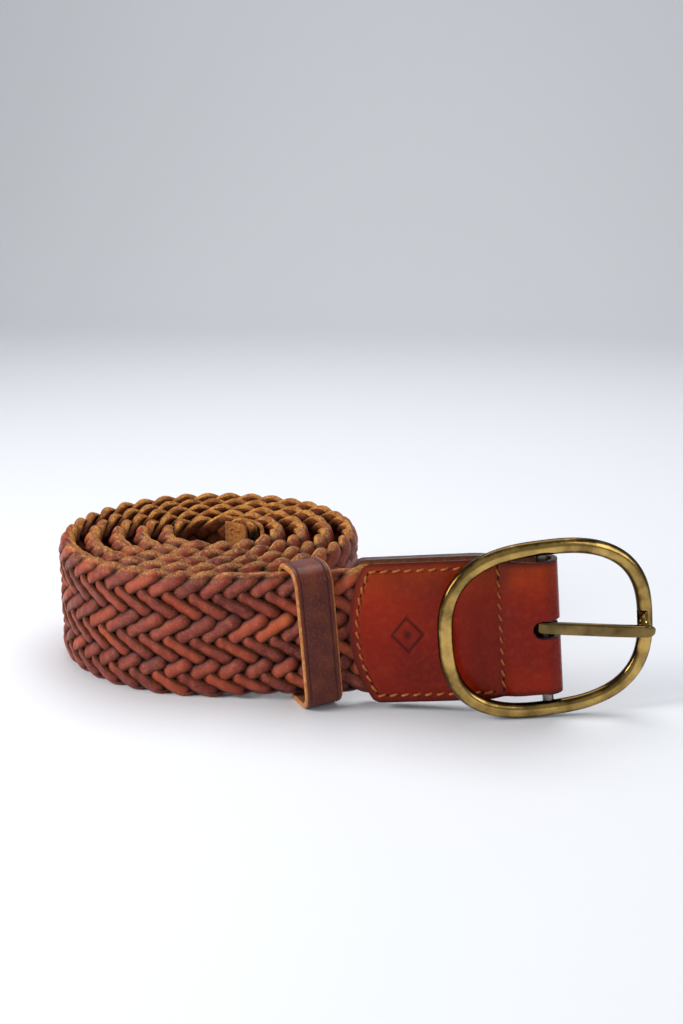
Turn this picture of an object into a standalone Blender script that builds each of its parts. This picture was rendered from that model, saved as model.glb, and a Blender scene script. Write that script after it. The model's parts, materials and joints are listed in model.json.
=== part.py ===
"""Braided leather belt with an oval centre-bar buckle, rolled up and standing on its edge.

Metres, +Z up. The origin is on the belt's lower edge, at the middle of its thickness, at the
front of the coil. The buckle end runs along +X and climbs a little,
because the buckle is taller than the strap is wide. -Y is the belt's outer (grain) side.
"""
import math

import bmesh
import bpy
from mathutils import Matrix, Vector

# ---------------------------------------------------------------- driving dimensions
STRAP_WIDTH = 0.045          # braid, edge to edge
STRAP_THICK = 0.0046         # braid, two crossing strands
EYE_RADIUS = 0.01414         # the roll's open middle, to the middle of the braid
COIL_GAP = 0.0042            # between two turns
COIL_TURNS = 4.7             # turns from the straight end to the tip
COIL_OVAL = 1.04             # the coil is a little longer in X than in Y
COIL_STEP = math.radians(10)
COIL_START = 0.00375         # X where the straight end runs into the coil
LIFT_START = 0.011           # where the strap begins to climb to the buckle
LIFT_BLEND = 0.006           # half length of the bend at the start of the climb
FIT_GAP = 0.0003             # between pieces that touch

LEAF_THICK = 0.0018          # chape leather
CHAPE_OVERHANG = 0.0022      # the chape stands past each edge of the braid
FOLD_NARROWING = 0.0016      # each edge comes in to pass through the buckle
FOLD_TAPER = 0.010           # from where the edges start to come in to the cross stitching
CHAPE_LENGTH = 0.0649        # front leaf, from its rounded end to the bar
CHAPE_BACK_EXTRA = 0.0035    # how much further the back leaf reaches
CHAPE_END_SAG = 0.0068       # depth of the rounded end
CHAPE_CORNER = 0.0020
BAR_X = 0.1257               # X of the buckle's centre bar
SEAM_TO_BAR = 0.0144         # cross stitching to the bar
SEAM_PINCH = 0.0013          # how far each leaf dips at the cross stitching
SEAM_SPREAD = 0.0036
BRAID_END_TO_SEAM = 0.0078   # the braid stops short of the cross stitching
SLOT_PLAY = 0.00105          # prong slot, above and below the prong
SLOT_END_PLAY = 0.000575     # from the prong's eye to the slot's end
SLOT_CORNER = 0.0020
SLOT_DROP = 0.0004           # slot centre below the chape's middle

THREAD_RADIUS = 0.0004
STITCH_INSET = 0.0027
CROSS_STITCH_INSET = 0.0030
EDGE_ROWS_TO_SEAM = 0.0065   # the edge rows stop short of the cross stitching
TIP_STITCH_INSET = 0.0027

FRAME_LONG = 0.0736          # buckle, outer length
FRAME_SIDE_GAP = 0.0024      # from the folded chape's edge to the rim
FRAME_POWER = 2.64           # superellipse exponent of the outline
RIM_WIDTH = 0.0052
RIM_DEPTH = 0.0042
RIM_SETBACK = 0.0040         # the rim's middle behind the face of the front stitching
FRAME_YAW = math.radians(16)     # the outer rim stands off the chape at rest
FRAME_DROP = 0.0010          # the buckle hangs this far down along its bar
BAR_RADIUS = 0.0019
BAR_SOCKET = 0.0015          # depth of the bar's holes in the rim
NOTCH_PLAY = 0.0002          # recess that receives the prong's tip, wider than the prong
NOTCH_DEPTH = 0.0012
NOTCH_IN = 0.0014            # notch centre, inward of the rim's centreline

PRONG_WIDTH = 0.0043
PRONG_THICK = 0.0019
PRONG_PLAY = 0.0005          # eye to bar
PRONG_RAISE = 0.0008         # prong root above the buckle's middle, along the bar
PRONG_DROOP = math.radians(8.7)
PRONG_PAST_RIM = 0.0008
PRONG_CURL_END = math.radians(-22)

KEEPER_WIDTH = 0.0135
KEEPER_THICK = 0.0020
KEEPER_SLACK = 0.0052        # inside, front to back, beyond two straps
KEEPER_HEADROOM = 0.00045    # over and under the strap's edges
KEEPER_CORNER = 0.0038       # outer corner radius of the loop
KEEPER_TO_CHAPE = 0.0036     # from the loop's nearest corner to the front leaf
KEEPER_YAW = math.radians(29)    # the loose loop lies askew on the strap
STAPLE_WIRE = 0.0003         # wire radius
STAPLE_SPAN = 0.0070
STAPLE_TUCK = 0.0022         # length of each bent-over leg

TIP_LENGTH = 0.024           # leather tip over the braid's free end
TIP_NARROWER = 0.0005        # each edge of the tip lies inside the braid's
TIP_LEAF = 0.0016
TIP_PAST_BRAID = 0.0035
TIP_POINT = 0.011            # length over which the tip rounds off
TIP_BLUNT = 0.30             # share of the width that is left at the very end

CUT_MARGIN = 0.002           # cutters run past what they cut

# ---------------------------------------------------------------- derived sizes
HALF_W = STRAP_WIDTH / 2
HALF_T = STRAP_THICK / 2
COIL_PITCH = STRAP_THICK + COIL_GAP      # from one turn to the next
COIL_RADIUS = EYE_RADIUS + COIL_PITCH * COIL_TURNS   # outermost turn, middle of the braid
CHAPE_WIDTH = STRAP_WIDTH + 2 * CHAPE_OVERHANG
FOLD_WIDTH = CHAPE_WIDTH - 2 * FOLD_NARROWING
TIP_WIDTH = STRAP_WIDTH - 2 * TIP_NARROWER
FRAME_TALL = FOLD_WIDTH + 2 * (FRAME_SIDE_GAP + RIM_WIDTH)   # buckle, outer height
LEAF_GAP = HALF_T + FIT_GAP              # inner face of a leaf, from the strap's middle
LEAF_MID = LEAF_GAP + LEAF_THICK / 2
RIM_LONG = FRAME_LONG / 2 - RIM_WIDTH / 2    # rim centreline half length
RIM_TALL = FRAME_TALL / 2 - RIM_WIDTH / 2    # rim centreline half height
STITCH_FACE = LEAF_GAP + LEAF_THICK + FIT_GAP + 2 * THREAD_RADIUS    # from the middle plane
RIM_FORWARD = STITCH_FACE - RIM_SETBACK      # the rim stands in front of the bar
SEAM_X = BAR_X - SEAM_TO_BAR
CHAPE_FRONT_END = BAR_X - CHAPE_LENGTH       # X of the front leaf's rounded end
EYE_OUTER = BAR_RADIUS + PRONG_PLAY + PRONG_THICK    # the prong's eye round the bar
SLOT_HEIGHT = PRONG_WIDTH + 2 * SLOT_PLAY
SLOT_REACH = math.sqrt(max(0.0, EYE_OUTER ** 2 - LEAF_GAP ** 2)) + SLOT_END_PLAY
NOTCH_RADIUS = PRONG_WIDTH / 2 + NOTCH_PLAY
KEEPER_DEPTH = 2 * STRAP_THICK + KEEPER_SLACK        # inside, front to back
KEEPER_REACH = (KEEPER_WIDTH * math.cos(KEEPER_YAW)
                + (KEEPER_DEPTH + 2 * KEEPER_THICK) * math.sin(KEEPER_YAW)) / 2
KEEPER_X = CHAPE_FRONT_END - KEEPER_TO_CHAPE - KEEPER_REACH      # middle of the loop


def frame_stand_height(tilt):
    """Height of the buckle's centre when it stands on its lower edge, tilted by tilt."""
    dual = FRAME_POWER / (FRAME_POWER - 1)
    reach = (RIM_LONG * math.sin(tilt)) ** dual + (RIM_TALL * math.cos(tilt)) ** dual
    return reach ** (1 / dual) + RIM_WIDTH / 2


def climb_angle():
    """Slope of the buckle end that sets the hanging buckle on the ground."""
    angle = 0.0
    for _ in range(20):
        bar_height = frame_stand_height(angle) + FRAME_DROP * math.cos(angle)
        angle = math.atan2(bar_height - HALF_W, BAR_X - LIFT_START)
    return angle


CLIMB = climb_angle()


def along(x):
    """Distance along the climbing axis, from the start of the climb, of world place x."""
    return (x - LIFT_START) / math.cos(CLIMB)


# ---------------------------------------------------------------- scene helpers
def clear_scene():
    for obj in list(bpy.data.objects):
        bpy.data.objects.remove(obj, do_unlink=True)


def make_collection(name):
    group = bpy.data.collections.new(name)
    bpy.context.scene.collection.children.link(group)
    return group


def make_material(name, colour, roughness, metallic=0.0):
    material = bpy.data.materials.new(name)
    material.use_nodes = True
    shader = material.node_tree.nodes["Principled BSDF"]
    shader.inputs["Base Color"].default_value = (*colour, 1.0)
    shader.inputs["Roughness"].default_value = roughness
    shader.inputs["Metallic"].default_value = metallic
    return material


def add_object(name, data, material, parent=None, group=None):
    obj = bpy.data.objects.new(name, data)
    (group or PARTS).objects.link(obj)
    if material is not None:
        data.materials.append(material)
    obj.parent = parent
    return obj


def add_empty(name, location, rotation=(0, 0, 0), parent=None):
    empty = bpy.data.objects.new(name, None)
    empty.empty_display_size = 0.01
    PARTS.objects.link(empty)
    empty.location = location
    empty.rotation_euler = rotation
    empty.parent = parent
    return empty


def smooth(mesh, angle=math.radians(35)):
    mesh.shade_smooth()
    mesh.set_sharp_from_angle(angle=angle)


def standing_sheet(name, plan, spans, thickness, material, parent=None):
    """A sheet that stands on the plan line; spans gives each point's lower and upper Z."""
    mesh = bpy.data.meshes.new(name)
    builder = bmesh.new()
    low = [builder.verts.new((x, y, 0)) for x, y in plan]
    chain = [builder.edges.new(pair) for pair in zip(low[:-1], low[1:])]
    grown = bmesh.ops.extrude_edge_only(builder, edges=chain)
    high = [v for v in grown["geom"] if isinstance(v, bmesh.types.BMVert)]
    partner = {(round(v.co.x, 8), round(v.co.y, 8)): v for v in high}
    for vert, (bottom, top) in zip(low, spans):
        partner[(round(vert.co.x, 8), round(vert.co.y, 8))].co.z = top
        vert.co.z = bottom
    bmesh.ops.recalc_face_normals(builder, faces=builder.faces)
    builder.to_mesh(mesh)
    builder.free()
    obj = add_object(name, mesh, material, parent)
    shell = obj.modifiers.new("thickness", "SOLIDIFY")
    shell.thickness = thickness
    shell.offset = 0
    shell.use_even_offset = True
    return obj


def thread(name, points, radius, material, parent=None):
    """A round wire or thread through the points."""
    curve = bpy.data.curves.new(name, "CURVE")
    curve.dimensions = "3D"
    curve.bevel_depth = radius
    curve.bevel_resolution = 2
    curve.use_fill_caps = True
    spline = curve.splines.new("POLY")
    spline.points.add(len(points) - 1)
    for target, point in zip(spline.points, points):
        target.co = (*point, 1)
    return add_object(name, curve, material, parent)


def section_curve(name, half_x, half_y, power, count):
    """A closed superellipse used as the cross-section of a swept piece."""
    curve = bpy.data.curves.new(name, "CURVE")
    curve.dimensions = "2D"
    spline = curve.splines.new("POLY")
    spline.points.add(count - 1)
    for target, point in zip(spline.points, superellipse(half_x, half_y, power, count)):
        target.co = (*point, 0, 1)
    spline.use_cyclic_u = True
    guide = add_object(name, curve, None, group=CUTTERS)
    guide.hide_render = True
    return guide


def superellipse(half_x, half_y, power, count):
    points = []
    for i in range(count):
        angle = 2 * math.pi * (i + 0.5) / count
        c, s = math.cos(angle), math.sin(angle)
        points.append((half_x * math.copysign(abs(c) ** (2 / power), c),
                       half_y * math.copysign(abs(s) ** (2 / power), s)))
    return points


def swept(name, points, section, material, parent=None, closed=False, radii=None):
    """A section swept along a flat line, made a mesh with its caps welded."""
    curve = bpy.data.curves.new(name + "_line", "CURVE")
    curve.dimensions = "2D"
    curve.fill_mode = "NONE"
    curve.bevel_mode = "OBJECT"
    curve.bevel_object = section
    curve.use_fill_caps = True
    spline = curve.splines.new("POLY")
    spline.points.add(len(points) - 1)
    for i, (target, point) in enumerate(zip(spline.points, points)):
        target.co = (*point, 0, 1)
        target.radius = radii[i] if radii else 1.0
    spline.use_cyclic_u = closed
    line = add_object(name + "_line", curve, None, group=CUTTERS)
    bpy.context.view_layer.update()
    graph = bpy.context.evaluated_depsgraph_get()
    mesh = bpy.data.meshes.new_from_object(line.evaluated_get(graph))
    bpy.data.objects.remove(line, do_unlink=True)
    builder = bmesh.new()
    builder.from_mesh(mesh)
    bmesh.ops.remove_doubles(builder, verts=builder.verts, dist=1e-6)
    bmesh.ops.recalc_face_normals(builder, faces=builder.faces)
    builder.to_mesh(mesh)
    builder.free()
    mesh.materials.clear()
    return add_object(name, mesh, material, parent)


def prism(name, outline, low, high, parent, turn=None):
    """A cutter: an outline in local XY carried from low to high along local Z."""
    mesh = bpy.data.meshes.new(name)
    builder = bmesh.new()
    ring = [builder.verts.new((x, y, low)) for x, y in outline]
    face = builder.faces.new(ring)
    grown = bmesh.ops.extrude_face_region(builder, geom=[face])
    top = [v for v in grown["geom"] if isinstance(v, bmesh.types.BMVert)]
    bmesh.ops.translate(builder, verts=top, vec=(0, 0, high - low))
    bmesh.ops.recalc_face_normals(builder, faces=builder.faces)
    builder.to_mesh(mesh)
    builder.free()
    cutter = add_object(name, mesh, None, parent, group=CUTTERS)
    cutter.matrix_local = turn or Matrix.Identity(4)
    cutter.hide_render = True
    cutter.display_type = "WIRE"
    return cutter


def circle(radius, count, centre=(0, 0)):
    return [(centre[0] + radius * math.cos(2 * math.pi * i / count),
             centre[1] + radius * math.sin(2 * math.pi * i / count)) for i in range(count)]


def cut(obj, cutter):
    boolean = obj.modifiers.new("cut_" + cutter.name, "BOOLEAN")
    boolean.operation = "DIFFERENCE"
    boolean.solver = "EXACT"
    boolean.object = cutter


# ---------------------------------------------------------------- the strap's line
FRONT_ANGLE = -math.atan2(COIL_PITCH / (2 * math.pi), COIL_RADIUS)   # tangent is along X


def spiral_raw(angle):
    radius = COIL_RADIUS - COIL_PITCH * angle / (2 * math.pi)
    return Vector((-COIL_OVAL * radius * math.sin(angle), -radius * math.cos(angle)))


def spiral(angle):
    """Plan place of the braid's middle at an angle round the coil, measured from its front."""
    return spiral_raw(FRONT_ANGLE + angle) - spiral_raw(FRONT_ANGLE) + Vector((COIL_START, 0))


def spiral_normal(angle):
    """Unit plan direction out of the coil at this angle."""
    ahead = spiral(angle + 0.01) - spiral(angle - 0.01)
    return Vector((ahead.y, -ahead.x)).normalized() * -1


def lift(x):
    """How far the strap's middle has climbed at world place x."""
    past = x - (LIFT_START - LIFT_BLEND)
    if past <= 0:
        return 0.0
    if past < 2 * LIFT_BLEND:
        return math.tan(CLIMB) * past * past / (4 * LIFT_BLEND)
    return math.tan(CLIMB) * (x - LIFT_START)


def build_strap():
    end = SEAM_X - BRAID_END_TO_SEAM
    bend = [LIFT_START + LIFT_BLEND * k for k in (-1, -0.5, 0, 0.5, 1)]
    straight = [end, (end + CHAPE_FRONT_END) / 2, CHAPE_FRONT_END, 0.04, 0.026] + bend[::-1]
    plan = [(x, 0.0) for x in straight]
    steps = math.ceil(2 * math.pi * COIL_TURNS / COIL_STEP)
    for i in range(steps + 1):
        place = spiral(2 * math.pi * COIL_TURNS * i / steps)
        plan.append((place.x, place.y))
    spans = [(lift(x), lift(x) + STRAP_WIDTH) for x, y in plan]
    for i in range(len(straight), len(plan)):
        spans[i] = (0.0, STRAP_WIDTH)
    return standing_sheet("braided_strap", plan, spans, STRAP_THICK, MATERIALS["braid"])


# ---------------------------------------------------------------- the chape
def leaf_gap(x):
    """Inner face of a leaf from the middle plane: it dips at the cross stitching."""
    return LEAF_GAP - SEAM_PINCH * math.exp(-((x - along(SEAM_X)) / SEAM_SPREAD) ** 2)


def chape_half_width(x):
    start = along(SEAM_X) - FOLD_TAPER
    share = min(1.0, max(0.0, (x - start) / (along(BAR_X) - start)))
    eased = share * share * (3 - 2 * share)
    return (CHAPE_WIDTH + (FOLD_WIDTH - CHAPE_WIDTH) * eased) / 2


def end_outline(apex, half_width, inset=0.0, count=25):
    """A leaf's rounded end from its lower to its upper edge, moved in by inset."""
    points = []
    half = half_width - inset
    corner = max(CHAPE_CORNER - inset, 0.0004)
    for i in range(count):
        z = -half * math.cos(math.pi * i / (count - 1))
        over = max(0.0, abs(z) - (half - corner))
        fillet = corner - math.sqrt(max(0.0, corner ** 2 - over ** 2))
        points.append((apex + inset + CHAPE_END_SAG * (z / half_width) ** 2 + fillet, z))
    return points


def build_chape(frame):
    bar = along(BAR_X)
    seam = along(SEAM_X)
    front_end = along(CHAPE_FRONT_END)
    back_end = along(CHAPE_FRONT_END - CHAPE_BACK_EXTRA)
    run = [seam + FOLD_TAPER * k / 5 for k in (-5, -3, -2, -1, 0, 1, 2, 3, 5)]
    plan = [(front_end - 0.001, -LEAF_MID)]
    plan += [(x, -leaf_gap(x) - LEAF_THICK / 2) for x in run]
    fold_steps = 14
    for i in range(fold_steps + 1):
        angle = math.pi * (i / fold_steps - 0.5)
        plan.append((bar + LEAF_MID * math.cos(angle), LEAF_MID * math.sin(angle)))
    plan += [(x, leaf_gap(x) + LEAF_THICK / 2) for x in reversed(run)]
    plan.append((back_end - 0.001, LEAF_MID))
    spans = [(-chape_half_width(x), chape_half_width(x)) for x, y in plan]
    chape = standing_sheet("chape_leather", plan, spans, LEAF_THICK, MATERIALS["chape"], frame)

    upright = Matrix.Rotation(math.radians(90), 4, "X")      # local Y up, local Z to -Y
    clear = LEAF_GAP + LEAF_THICK + CUT_MARGIN
    for name, apex, low, high in (("front_end_cutter", front_end, 0.0, clear),
                                  ("back_end_cutter", back_end, -clear, 0.0)):
        curve = end_outline(apex, CHAPE_WIDTH / 2)
        far = apex - 4 * CUT_MARGIN
        top = CHAPE_WIDTH / 2 + CUT_MARGIN
        outline = curve + [(curve[-1][0], top), (far, top), (far, -top), (curve[0][0], -top)]
        cut(chape, prism(name, outline, low, high, frame, upright))

    half = SLOT_HEIGHT / 2
    start = bar - SLOT_REACH
    finish = bar + LEAF_MID + LEAF_THICK
    slot = [(finish, half - SLOT_DROP)]
    for sign, first in ((1, 90), (-1, 180)):
        centre = (start + SLOT_CORNER, sign * (half - SLOT_CORNER) - SLOT_DROP)
        for i in range(7):
            angle = math.radians(first + 15 * i)
            slot.append((centre[0] + SLOT_CORNER * math.cos(angle),
                         centre[1] + SLOT_CORNER * math.sin(angle)))
    slot.append((finish, -half - SLOT_DROP))
    cut(chape, prism("slot_cutter", slot, -clear, clear, frame, upright))


def build_chape_stitching(frame):
    seam = along(SEAM_X)
    depth = STITCH_FACE - THREAD_RADIUS
    row_end = seam - EDGE_ROWS_TO_SEAM
    sides = (("front", -1, along(CHAPE_FRONT_END)),
             ("back", 1, along(CHAPE_FRONT_END - CHAPE_BACK_EXTRA)))
    for side, sign, apex in sides:
        curve = end_outline(apex, CHAPE_WIDTH / 2, STITCH_INSET, 19)
        line = [(row_end, curve[0][1])] + curve + [(row_end, curve[-1][1])]
        points = [(x, sign * depth, z) for x, z in line]
        thread(side + "_edge_stitching", points, THREAD_RADIUS, MATERIALS["thread"], frame)
        dip = leaf_gap(seam) + LEAF_THICK + FIT_GAP + THREAD_RADIUS
        reach = chape_half_width(seam) - CROSS_STITCH_INSET
        points = [(seam, sign * dip, reach * (k / 4 - 1)) for k in range(9)]
        thread(side + "_cross_stitching", points, THREAD_RADIUS, MATERIALS["thread"], frame)


# ---------------------------------------------------------------- the buckle
def build_buckle(pivot):
    """The pivot's Z is the bar's axis; its X points to the prong rest, at 0 yaw."""
    section = section_curve("rim_section", RIM_WIDTH / 2, RIM_DEPTH / 2, 2.3, 14)
    outline = superellipse(RIM_LONG, RIM_TALL, FRAME_POWER, 56)
    ring = swept("buckle_frame", outline, section, MATERIALS["brass"], pivot, closed=True)
    ring.rotation_euler = (math.radians(90), 0, 0)
    ring.location = (0, -RIM_FORWARD, 0)
    smooth(ring.data)

    socket = RIM_TALL - RIM_WIDTH / 2 + BAR_SOCKET
    reach = socket + FIT_GAP
    sockets = prism("socket_cutter", circle(BAR_RADIUS + FIT_GAP, 20), -reach, reach, pivot)
    cut(ring, sockets)
    front = RIM_FORWARD + RIM_DEPTH / 2
    upright = Matrix.Rotation(math.radians(90), 4, "X")
    notch = circle(NOTCH_RADIUS, 20, (RIM_LONG - NOTCH_IN, 0))
    cut(ring, prism("notch_cutter", notch, front - NOTCH_DEPTH, front + CUT_MARGIN, pivot, upright))

    mesh = bpy.data.meshes.new("centre_bar")
    builder = bmesh.new()
    bmesh.ops.create_cone(builder, cap_ends=True, segments=20, radius1=BAR_RADIUS,
                          radius2=BAR_RADIUS, depth=2 * socket)
    builder.to_mesh(mesh)
    builder.free()
    smooth(mesh)
    add_object("centre_bar", mesh, MATERIALS["steel"], pivot)


def build_prong(pivot):
    """A flat wire curled round the bar; its tip lies over the rim, below the notch."""
    half = PRONG_THICK / 2
    eye = BAR_RADIUS + PRONG_PLAY + half
    over_rim = RIM_FORWARD + RIM_DEPTH / 2 + FIT_GAP + half
    points = []
    start, finish = PRONG_CURL_END, math.radians(270)
    steps = 22
    for i in range(steps + 1):
        angle = start + (finish - start) * i / steps
        points.append((eye * math.cos(angle), eye * math.sin(angle)))
    shank_end = RIM_LONG - RIM_WIDTH
    for share in (0.15, 0.35, 0.55, 0.75, 1.0):
        eased = share * share * (3 - 2 * share)
        points.append((shank_end * share, -eye - (over_rim - eye) * eased))
    bow_long = RIM_WIDTH / 2 + FIT_GAP + half
    bow_deep = RIM_DEPTH / 2 + FIT_GAP + half
    last = math.asin((RIM_WIDTH / 2 + PRONG_PAST_RIM) / bow_long)
    for share in (-0.45, 0.0, 0.35, 0.6, 0.8, 0.92, 1.0):
        angle = last * share
        points.append((RIM_LONG + bow_long * math.sin(angle),
                       -RIM_FORWARD - bow_deep * math.cos(angle)))
    radii = [1.0] * (len(points) - 3) + [0.95, 0.8, 0.55]
    section = section_curve("prong_section", half, PRONG_WIDTH / 2, 4.0, 12)
    prong = swept("prong", points, section, MATERIALS["brass"], pivot, radii=radii)
    prong.location = (0, 0, PRONG_RAISE)
    prong.rotation_euler = (0, PRONG_DROOP, 0)
    smooth(prong.data)


# ---------------------------------------------------------------- the keeper
def rounded_loop(half_x, half_y, corner, count=5):
    points = []
    for k, (sx, sy) in enumerate(((1, 1), (-1, 1), (-1, -1), (1, -1))):
        for i in range(count + 1):
            angle = math.radians(90 * k) + math.radians(90) * i / count
            points.append((sx * (half_x - corner) + corner * math.cos(angle),
                           sy * (half_y - corner) + corner * math.sin(angle)))
    return points


def build_keeper(strap_end):
    """A loop of leather round the strap; its seam is stapled at the back."""
    half_tall = HALF_W + KEEPER_HEADROOM + KEEPER_THICK / 2
    half_deep = (KEEPER_DEPTH + KEEPER_THICK) / 2
    frame = add_empty("keeper_place", (along(KEEPER_X), 0, 0), (0, 0, KEEPER_YAW), strap_end)
    section = section_curve("keeper_section", KEEPER_THICK / 2, KEEPER_WIDTH / 2, 6.0, 12)
    loop = rounded_loop(half_deep, half_tall, KEEPER_CORNER - KEEPER_THICK / 2)
    keeper = swept("keeper_loop", loop, section, MATERIALS["keeper"], frame, closed=True)
    keeper.rotation_euler = (math.radians(90), 0, math.radians(90))
    smooth(keeper.data)

    back = half_deep
    leg = KEEPER_THICK / 2 + FIT_GAP + STAPLE_WIRE
    span = STAPLE_SPAN / 2
    hole = circle(2 * STAPLE_WIRE, 8)
    for name, height in (("lower_staple_cutter", -span), ("upper_staple_cutter", span)):
        turn = Matrix.Translation((0, back, height)) @ Matrix.Rotation(math.radians(90), 4, "X")
        cut(keeper, prism(name, hole, -KEEPER_THICK, KEEPER_THICK, frame, turn))
    path = [(0, back + leg, STAPLE_TUCK - span), (0, back + leg, -span), (0, back - leg, -span),
            (0, back - leg, span), (0, back + leg, span), (0, back + leg, span - STAPLE_TUCK)]
    thread("keeper_staple", path, STAPLE_WIRE, MATERIALS["steel"], frame)


# ---------------------------------------------------------------- the free end
def build_tip():
    """Two leather leaves over the braid's free end, inside the coil, and their stitching."""
    last = 2 * math.pi * COIL_TURNS
    end_radius = COIL_RADIUS - COIL_PITCH * COIL_TURNS
    past = TIP_PAST_BRAID / end_radius
    first = last - (TIP_LENGTH - TIP_PAST_BRAID) / (end_radius + COIL_PITCH / 2)
    count = 18
    turn = last + past - first
    point_share = TIP_POINT / TIP_LENGTH
    for side, sign in (("outer", 1), ("inner", -1)):
        offset = sign * (HALF_T + FIT_GAP + TIP_LEAF / 2)
        plan, spans = [], []
        for i in range(count + 1):
            share = i / count
            angle = first + turn * share
            place = spiral(angle) + spiral_normal(angle) * offset
            plan.append((place.x, place.y))
            half = TIP_WIDTH / 2 * tip_rounding(share, point_share)
            spans.append((HALF_W - half, HALF_W + half))
        standing_sheet("tip_" + side + "_leaf", plan, spans, TIP_LEAF, MATERIALS["chape"])

        depth = sign * (HALF_T + FIT_GAP + TIP_LEAF + FIT_GAP + THREAD_RADIUS)
        inset = TIP_STITCH_INSET / TIP_LENGTH
        rows = []
        for i in range(17):
            share = 0.04 + (1 - inset - 0.04) * math.sin(math.pi / 2 * i / 16)
            half = (TIP_WIDTH / 2 - TIP_STITCH_INSET) * tip_rounding(share + inset / 2, point_share)
            rows.append((share, half))
        line = rows + [(s, -h) for s, h in rows[::-1]]
        points = []
        for share, height in line:
            angle = first + turn * share
            place = spiral(angle) + spiral_normal(angle) * depth
            points.append((place.x, place.y, HALF_W + height))
        thread("tip_" + side + "_stitching", points, THREAD_RADIUS, MATERIALS["thread"])


def tip_rounding(share, point_share):
    """Share of the full half width at this share of the tip's length."""
    into = max(0.0, share - (1 - point_share)) / point_share
    return max(TIP_BLUNT, (1 - min(into, 1.0) ** 2.4) ** (1 / 2.4))


# ---------------------------------------------------------------- assembly
clear_scene()
PARTS = make_collection("leather_belt")
CUTTERS = make_collection("cutters_and_guides")
MATERIALS = {
    "braid": make_material("braid_leather", (0.27, 0.085, 0.045), 0.5),
    "chape": make_material("chape_leather", (0.30, 0.055, 0.018), 0.32),
    "keeper": make_material("keeper_leather", (0.15, 0.045, 0.03), 0.5),
    "thread": make_material("waxed_thread", (0.33, 0.12, 0.04), 0.7),
    "brass": make_material("antique_brass", (0.42, 0.31, 0.13), 0.32, 1.0),
    "steel": make_material("dark_steel", (0.25, 0.24, 0.22), 0.4, 1.0),
}

build_strap()
buckle_end = add_empty("buckle_end", (LIFT_START, 0, HALF_W), (0, -CLIMB, 0))
build_chape(buckle_end)
build_chape_stitching(buckle_end)
frame_pivot = add_empty("frame_pivot", (along(BAR_X), 0, -FRAME_DROP), (0, 0, FRAME_YAW), buckle_end)
build_buckle(frame_pivot)
prong_pivot = add_empty("prong_pivot", (0, 0, 0), parent=frame_pivot)
build_prong(prong_pivot)
build_keeper(buckle_end)
build_tip()
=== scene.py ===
"""Looks of the rolled braided leather belt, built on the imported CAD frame."""
import bpy
import json
import math
import numpy as np
from mathutils import Matrix, Vector


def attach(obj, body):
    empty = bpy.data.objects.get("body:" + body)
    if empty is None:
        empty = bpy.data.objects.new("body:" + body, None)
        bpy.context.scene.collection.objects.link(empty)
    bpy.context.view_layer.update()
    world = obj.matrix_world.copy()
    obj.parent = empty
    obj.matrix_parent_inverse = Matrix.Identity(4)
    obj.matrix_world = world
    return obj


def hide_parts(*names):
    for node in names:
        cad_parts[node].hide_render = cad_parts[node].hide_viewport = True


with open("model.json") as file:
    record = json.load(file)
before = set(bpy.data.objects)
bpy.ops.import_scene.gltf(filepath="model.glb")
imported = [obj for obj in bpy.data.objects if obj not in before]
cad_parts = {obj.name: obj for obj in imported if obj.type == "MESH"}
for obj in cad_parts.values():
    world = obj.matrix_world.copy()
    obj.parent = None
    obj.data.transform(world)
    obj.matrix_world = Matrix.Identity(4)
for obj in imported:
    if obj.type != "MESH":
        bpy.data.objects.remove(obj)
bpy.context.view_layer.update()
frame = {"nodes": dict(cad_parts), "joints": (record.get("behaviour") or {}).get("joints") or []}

MM = 0.001
rng = np.random.default_rng(7)

# ------------------------------------------------------------------ sizes in mm, as in the CAD
HALF_W, STRAP_HALF_T = 22.5, 2.3
COIL_R, COIL_P, COIL_TURNS, OVAL = 55.5, 8.8, 4.7, 1.04
THETA0 = -math.atan2(COIL_P / (2 * math.pi), COIL_R)
LIFT_AT, LIFT_BLEND = 11.0, 6.0
COIL_START = 3.75
SLIDE_AXIS = next(j["axis"] for j in frame["joints"] if j["name"] == "keeper_slide")
CLIMB = math.atan2(SLIDE_AXIS[2], SLIDE_AXIS[0])    # the straight end climbs at this angle
FIT_GAP = 0.3
BAR_X, SEAM_X, BRAID_END = 125.7, 111.3, 103.5
LEAF_GAP, LEAF = 2.6, 1.8
CHAPE_W, FOLD_W, SAG, CORNER = 49.4, 46.2, 6.8, 2.0
FRONT_END, BACK_END = 60.8, 57.3
FOLD_TAPER = 10.0                                   # before the seam, where the chape starts to narrow
SLOT_R, SLOT_DROP, SLOT_REACH = 3.2, 0.4, 4.0       # the prong's slot: round end, height, straight part
STITCH_INSET = 2.7
YAW = math.radians(16)
FRAME_DROP = 1.0
RIM_LONG, RIM_TALL, RIM_POWER, RIM_W, RIM_D, RIM_FWD = 34.2, 28.1, 2.64, 5.2, 4.2, 1.5
BAR_R, SOCKET = 1.9, 1.5
PRONG_W, PRONG_HALF_T, PRONG_PLAY, PRONG_RAISE, PRONG_DROOP = 4.3, 0.95, 0.5, 0.8, math.radians(8.7)
KEEPER_X, KEEPER_YAW, KEEPER_W, KEEPER_T, KEEPER_IN = 46.84, math.radians(29), 13.5, 2.0, 14.4
HEADROOM = 0.45                                     # keeper over and under the strap
TIP_LONG, TIP_HALF_W, TIP_LEAF, TIP_PAST, TIP_POINT = 24.0, 22.0, 1.6, 3.5, 11.0


def along(x):
    return (x - LIFT_AT) / math.cos(CLIMB)


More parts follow.
